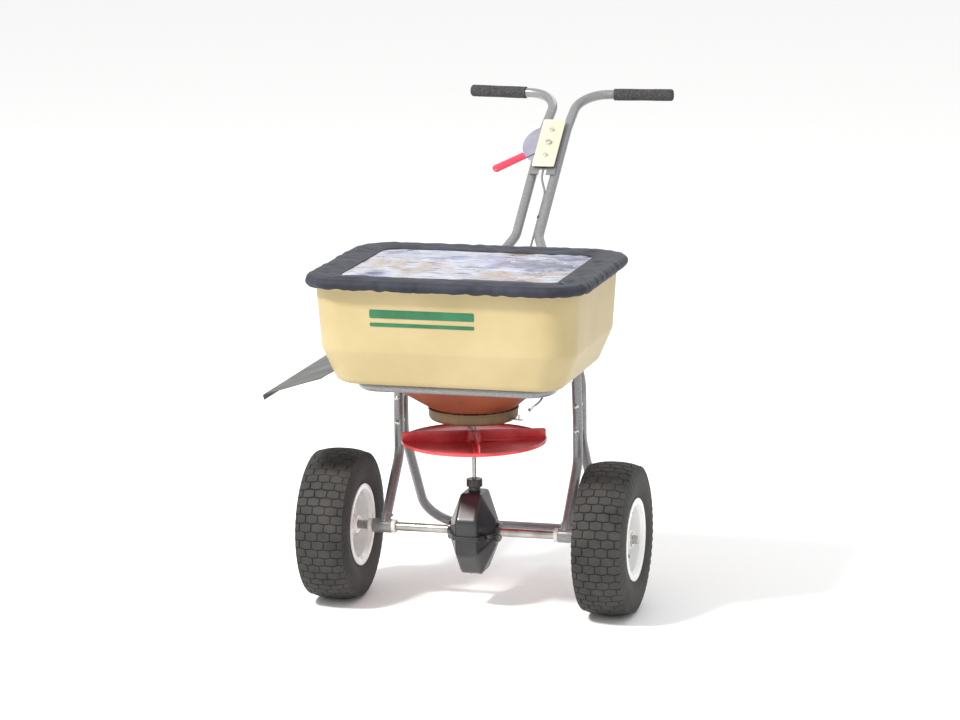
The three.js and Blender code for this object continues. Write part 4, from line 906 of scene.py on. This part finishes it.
for name, part, node in (
    ("gearbox_top_half", upper, "gearbox_upper_case"), ("gearbox_bottom_half", lower, "gearbox_lower_case")
):
    addPiece(name, moved(part, (0, 0, axleZ)), blackFinish, "frame", [node], 38)
collarLine = roundedLine(
    [(4.9, 262.6), (13.4, 262.6), (17.5, 264), (17.5, 280.2), (16, 280.5), (4.9, 280.5)],
    [0.3, 1, 1.5, 1.2, 1, 0.3], True, 0.6
)
notches = turned(collarLine, 96)
radial = np.linalg.norm(notches[0][:, :2], axis=1)
turnAngle = np.arctan2(notches[0][:, 1], notches[0][:, 0])
notches[0][:, :2] *= (1 - 0.045 * (radial > 16) * (np.cos(turnAngle * 16) > 0.1))[:, None]
addPiece("grease_cap", notches, blackFinish, "frame", ["shaft_collar"])
finishNodes(blackFinish, "case_screw_1", "case_screw_2")

# spinner: a shallow dish with four channel vanes
spinner = {"radius": 157.0, "z": 363.0, "hub": 19.0, "vane": 25.0, "first": 20.0, "foot": 11.0}
p = spinner
dishZ, dishRadius = p["z"], p["radius"]
dishLine = roundedLine([
    (4.8, dishZ - 9), (p["hub"], dishZ - 9), (p["hub"] + 6, dishZ - 4), (dishRadius, dishZ),
    (dishRadius, dishZ + 8), (dishRadius - 2.6, dishZ + 8), (dishRadius - 3, dishZ + 3), (p["hub"], dishZ),
    (p["hub"] - 5, dishZ + p["vane"]), (4.8, dishZ + p["vane"]),
], [0.5, 2, 3, 2, 1.2, 1.2, 2, 3, 2, 0.5], True, 1.2)
dish = turned(spaced(dishLine, 3, True), 144)


# a vane: an upright web with a foot flange along one side and a rounded outer top corner
def vane(k):
    angle = math.radians(p["first"] + 90 * k)
    webLine = roundedLine([
        (11, dishZ - 1), (dishRadius - 1.5, dishZ + 0.5),
        (dishRadius - 1.5, dishZ + p["vane"]), (11, dishZ + p["vane"]),
    ], [1, 1, 5, 1], True, 1.0)
    verts, faces = slabOf(webLine, -1.4, 1.4, 0.6)
    web = (np.stack([verts[:, 0], verts[:, 2], verts[:, 1]], -1), [f[::-1] for f in faces])
    footLine = roundedLine([
        (18, -1), (18, -p["foot"] * 0.8), (dishRadius - 12, -p["foot"]),
        (dishRadius - 3, -p["foot"] * 0.6), (dishRadius - 3, -1),
    ], [1, 3, 3, 2, 1], True, 1.0)
    foot = slabOf(footLine, dishZ + 1.0, dishZ + 5.4, 0.7)
    # buttress where the vane meets the hub
    buttress = tube(
        np.array([(16, -2, dishZ + 3), (16, -6, dishZ + 4), (15, -15, dishZ + 2)]), (5, 4, 1.2), 10
    )
    verts, faces = joined(web, foot, buttress)
    c, d = math.cos(angle), math.sin(angle)
    return verts @ np.array([[c, d, 0], [-d, c, 0], [0, 0, 1]]), faces


addPiece(
    "spinner_plate", joined(dish, *[vane(k) for k in range(4)]), redFinish, "spinner",
    ["spinner_disc"], 40
)
shaftLow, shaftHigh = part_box("spinner_shaft")
addPiece(
    "drive_shaft", bar((0, 0, shaftLow.z * 1000), (0, 0, shaftHigh.z * 1000), 4.5, 0.6, 28), barFinish,
    "spinner", ["spinner_shaft"]
)
print("drive made")

# rate control, laid flat and then leant with the handle
control = {"reach": 96.5, "bracketZ": 11.3, "scaleZ": 14.6, "leverZ": 16.9,
           "plateZ": 20.2, "top": 23.2, "scale": 62.0, "leverAngle": 217.0}
c = control
controlCentre = np.array([0, s["anchorY"], s["anchorZ"]]) + handleUp * c["reach"]
leanBack = np.array(Matrix.Rotation(math.pi / 2 - lean, 3, "X"))


def onControl(part, angle=0.0):
    spin = np.array(Matrix.Rotation(math.radians(angle), 3, "Z"))
    return part[0] @ spin.T @ leanBack.T + controlCentre, part[1]


plateOutline = roundedLine([(-26, -74), (26, -74), (26, 74), (-26, 74)], 3, True, 1.0)
plateLip = slabOf(spaced(plateOutline, 3, True), c["plateZ"], c["top"], 0.9)
addPiece("control_face", onControl(plateLip), plateFinish, "frame", ["control_plate"])
for name, y, radius in (
    ("lever_pivot_bolt", 0, 4), ("upper_plate_bolt", 40, 3), ("lower_plate_bolt", -40, 3)
):
    part = onControl(boltBetween((0, y, c["top"] + 0.3), (0, y, c["bracketZ"] - 0.3), radius))
    addPiece(name.replace("bolt", "screw"), part, zincFinish, "frame", [name])
scaleArc = np.pi / 2 - 0.2 + (np.pi + 0.4) * np.linspace(0, 1, 80)
scaleOutline = np.stack([c["scale"] * np.cos(scaleArc), c["scale"] * np.sin(scaleArc)], -1)
addPiece(
    "rate_dial", onControl(slabOf(spaced(scaleOutline, 3, True), c["scaleZ"], c["scaleZ"] + 2, 0.5)),
    scaleFinish, "frame", ["rate_scale"]
)
finishNodes(frameFinish, "control_bracket")
leverOutline = roundedLine([(0, -15), (12, -14), (20, -8), (139, -8), (139, 8),
                            (20, 8), (12, 14), (0, 15), (-13, 9), (-13, -9)],
                           [6, 5, 8, 3, 3, 8, 5, 6, 7, 7], True, 1.0)
addPiece(
    "lever_blade", onControl(slabOf(leverOutline, c["leverZ"], c["leverZ"] + 3, 0.5), c["leverAngle"]),
    scaleFinish, "lever", ["rate_lever"]
)


# dipped vinyl sleeve: a flattened round section, fuller at the tip, with a small lip at its mouth
def leverSleeve():
    length = np.concatenate(
        [
            [64, 64.4, 65.6, 68], np.linspace(72, 136, 22),
            144 - 8 * (1 - np.sin(np.linspace(0.15, math.pi / 2, 9)))
        ]
    )
    half = np.interp(
        length, [64, 66, 70, 136, 139, 142, 143.6, 144], [9.6, 10.4, 9.5, 10.5, 9.9, 7.6, 4.5, 1.5]
    )
    thick = np.interp(length, [64, 66, 70, 136, 140, 144], [4.6, 5.0, 4.5, 5.0, 4.4, 1.0])
    angle = np.arange(40) * tau / 40
    y = half[:, None] * np.sign(np.cos(angle)) * np.abs(np.cos(angle)) ** 0.7
    z = thick[:, None] * np.sign(np.sin(angle)) * np.abs(np.sin(angle)) ** 0.7 + c["leverZ"] + 1.5
    return skin(np.stack([np.repeat(length[:, None], 40, 1), y, z], -1))


addPiece(
    "lever_sleeve", onControl(leverSleeve(), c["leverAngle"]), vinylRed, "lever",
    ["lever_grip"], 45
)
print("control made")

# cable from the lever to the gate
cable = {"radius": 2.5, "clip": 12.0, "wireX": 108.67, "wireZ": 424.3, "bend": 30.0}


def inControl(x, y, z):
    return np.array([x, y, z]) @ leanBack.T + controlCentre


cableCorners = [
    (cable["wireX"], 62, cable["wireZ"]), (
        cable["wireX"], 150, cable["wireZ"]
    ), (146, 252, 512), (60, 400, 640),
    inControl(
        cable["clip"], -320, -6
    ), inControl(cable["clip"], -130, -6), inControl(0, -98, 8), inControl(0, -76, 12.8),
]
cableLine = spaced(roundedLine(cableCorners, cable["bend"], False, 2.0), 5.0)
cableLength = np.linalg.norm(np.diff(cableLine, axis=0), axis=1).sum() / 1000
addPiece(
    "cable_outer", tube(cableLine, cable["radius"], 12), conduitFinish, "frame",
    ["cable_conduit"]
)
# the ferrule is a bored sleeve, so the gate's wire slides through its mouth
ferruleLine = roundedLine([(1.5, 58), (4.1, 58), (4.1, 86), (3.4, 86),
                           (3.4, 96), (2.6, 96), (2.6, 61.5), (1.5, 61.5)],
                          [0.3, 0.8, 0.6, 0.4, 0.6, 0.3, 0, 0], True, 0.4)
ferrule = moved(laidDown(turned(ferruleLine, 28)), (cable["wireX"], 0, cable["wireZ"]))
addPiece("cable_ferrule", ferrule, zincFinish, "frame")
clips = []
for share in (0.62, 0.82):
    at = cableLine[int(share * len(cableLine))]
    way = unit(cableLine[int(share * len(cableLine)) + 1] - at)
    clips.append(bar(at - way * 4, at + way * 4, 3.6, 0.8, 16))
addPiece("cable_ties", joined(*clips), blackFinish, "frame")
finishNodes(zincFinish, "gate_wire")
print(f"cable made, {cableLength:.3f} m")

# side deflector: a streaked sheet with a folded outer edge, on a rolled hinge
flap = {"hingeX": -264.0, "hingeZ": 533.0, "front": -202.0, "rear": 284.0, "width": 151.0,
        "drop": 17.0, "lip": 12.0,
        "inner": 14.0, "webLow": -112.7, "webHigh": 57.7}
f = flap


def flapShape():
    # sheet section from the inner edge out and down round the fold; a shallow bow and edge waviness
    section = roundedLine(
        [(-f["inner"], 0), (-f["width"] + 1, 0), (-f["width"] + 1, -f["lip"])], [0, 3, 0], False, 1.0
    )
    section = spaced(section, 5)
    y = np.linspace(f["front"] + 0.6, f["rear"] - 0.6, 80)
    xAt, yAt = np.meshgrid(section[:, 0], y, indexing="ij")
    zAt = np.repeat(section[:, 1:], len(y), 1)
    points = np.stack([xAt, yAt, zAt], -1)
    sag = 0.7 * waves(np.stack([xAt, yAt], -1).reshape(-1, 2), 60, 260, 8).reshape(xAt.shape)
    points[..., 2] += sag * np.clip((f["width"] - 4 + xAt) / 30, 0, 1)
    normal = unit(np.cross(np.gradient(points, axis=0), np.gradient(points, axis=1)))
    top, under = points + normal * 0.9, points - normal * 0.9
    return skin(np.concatenate([top, under[::-1]]), closeRows=True, closeCols=False, capped=False), y


sheetPart, flapY = flapShape()
# close the two long edges of the folded sheet
rowsAll = len(sheetPart[0]) // len(flapY)
edgeFaces = []
for column, order in ((0, 1), (len(flapY) - 1, -1)):
    ring = [r * len(flapY) + column for r in range(rowsAll)]
    pairs = [(ring[k], ring[k + 1], ring[-k - 2], ring[-k - 1]) for k in range(rowsAll // 2 - 1)]
    edgeFaces += [list(q[::order]) for q in pairs]
sheetPart = (sheetPart[0], sheetPart[1] + edgeFaces)
tab = slabOf(
    roundedLine(
        [(-15, f["webLow"]), (-1, f["webLow"]), (-1, f["webHigh"]), (-15, f["webHigh"])], 2, True, 1.0
    ),
    -1, 1, 0.3
)
rolled = turned(
    roundedLine(
        [(3.35, f["webLow"]), (5.5, f["webLow"]), (5.5, f["webHigh"]), (3.35, f["webHigh"])], 0.4, True, 0.5
    ),
    36
)
verts, faces = joined(sheetPart, tab, laidDown(rolled))
tilt = np.array(Matrix.Rotation(-math.radians(f["drop"]), 3, "Y"))
addPiece(
    "deflector_sheet", (verts @ tilt.T + (f["hingeX"], 0, f["hingeZ"]), faces), sheetFinish, "deflector",
    ["deflector_flap"], 40
)
finishNodes(frameFinish, "deflector_front_bracket", "deflector_rear_bracket")
finishNodes(zincFinish, "deflector_hinge_rod")
print("deflector made")

# rain cover: a padded-looking cloth border drawn down over the lip by an elastic hem, round a clear window
cover = {"halfX": 310.0, "halfY": 249.0, "window": 48.0, "hem": 733.5, "paneZ": 750.3}
v = cover
pane = (t["halfX"] - v["window"], t["halfY"] - v["window"])
borderLevels = [
    *[
        level(pane, grown, z, corner) for grown, z,
        corner in ((-3, 751.6, 28), (3, 753.4, 33), (16, 756.0, 44))
    ],
    *[level((v["halfX"], v["halfY"]), grown, z, corner) for grown, z, corner in (
        (-28, 757.2, 68), (-9, 755.0, 86), (-1.5, 747.0, 92),
        (-1.0, 739.0, 93), (-3.5, v["hem"] + 1, 90), (-8.0, v["hem"], 86))],
]
borderLine = spaced(roundedLine(borderLevels, [0, 4, 12, 16, 9, 8, 6, 3, 0], False, 1.5), 3.4)
border = ringGrid(borderLine, 34, 74)
across = np.linspace(0, 1, border.shape[0])[:, None]
ringMiddle = np.array([0, cy, 740])
awayOut = unit((border - ringMiddle) * (1, 1, 0))
lengthRound = np.concatenate([[0], np.cumsum(np.linalg.norm(np.diff(border[-1], axis=0), axis=1))])
roundTurn = np.stack(
    [np.cos(lengthRound * tau / lengthRound[-1]), np.sin(lengthRound * tau / lengthRound[-1])], -1
)
# gathers run down the skirt and die out over the top; slow puffs and cross creases lie on the flat part
perimeter = lengthRound[-1] / tau
gathers = waves(roundTurn * perimeter, 16, 46, 11, 30)[None]
puffs = waves(
    np.broadcast_to(roundTurn * perimeter, (*border.shape[:2], 2)).reshape(-1, 2), 70, 240, 12
).reshape(border.shape[:2])
fine = waves(border.reshape(-1, 3), 14, 60, 13, 36).reshape(border.shape[:2])
skirt = np.clip((across - 0.52) / 0.4, 0, 1)
flatPart = np.clip(1 - np.abs(across - 0.36) / 0.34, 0, 1)
border = border + awayOut * np.clip(1.5 * gathers * skirt + 0.7 * fine * skirt, -3.2, 0.9)[..., None]
border[..., 2] += np.clip(
    2.6 * puffs * flatPart + 1.5 * fine * flatPart, -4.2, 2.2
) + np.clip(1.6 * gathers * skirt ** 2, -1.2, 2.4)
clothPart = skin(border, capped=False, flip=True)
clothPiece = addPiece("cover_border", clothPart, coverFinish, "cover", ["rain_cover"], 70)
thick = clothPiece.modifiers.new("cloth", "SOLIDIFY")
thick.thickness = 0.0011
thick.offset = -1.0

# the window: rings drawn in to the middle, so the creases can run right across it
inset = np.linspace(1, 0.0, 90)[:, None]
edge = ringGrid([level(pane, 5, v["paneZ"], 34)], 20, 44)[0]
paneMiddle = np.array([0, cy, v["paneZ"]])
window = paneMiddle + inset[..., None] * (edge - paneMiddle)[None]
flatXY = window[..., :2].reshape(-1, 2)
creased = waves(flatXY, 22, 90, 21, 40, (0.7, 1.3)) + 0.8 * np.abs(waves(flatXY, 60, 200, 22, 14))
sagShare = np.clip((1 - inset) / 0.12, 0, 1)
window[..., 2] += np.clip(
    1.5 * creased.reshape(window.shape[:2]), -3.5, 3.4
) * sagShare - 3.0 * np.sin(math.pi / 2 * (1 - inset)) ** 2
windowPart = skin(window[:-1], capped=False, flip=False)
middle = len(windowPart[0])
lastRow = (len(window) - 2) * window.shape[1]
windowVerts = np.vstack([windowPart[0], window[-1, :1]])
ringIndex = np.arange(window.shape[1])
windowFaces = windowPart[1] + [
    [lastRow + a, lastRow + (a + 1) % len(ringIndex), middle] for a in range(len(ringIndex))
]
windowPiece = addPiece(
    "cover_pane", (windowVerts, windowFaces), windowFinish, "cover", ["cover_window"], 80
)
thick = windowPiece.modifiers.new("pane", "SOLIDIFY")
thick.thickness = 0.0006
thick.offset = -1.0
# a press stud at the front left-hand corner
studPart = turned(
    roundedLine(
        [(3.0, 757.0), (8.5, 757.0), (8.5, 758.2), (7.0, 759.2), (4.4, 759.2), (3.0, 758.4)], 0.3, True, 0.3
    ),
    32
)
stud = addPiece(
    "cover_stud", moved(studPart, (pane[0] + 12, cy - pane[1] - 14, -1.2)), blackFinish, "cover",
)
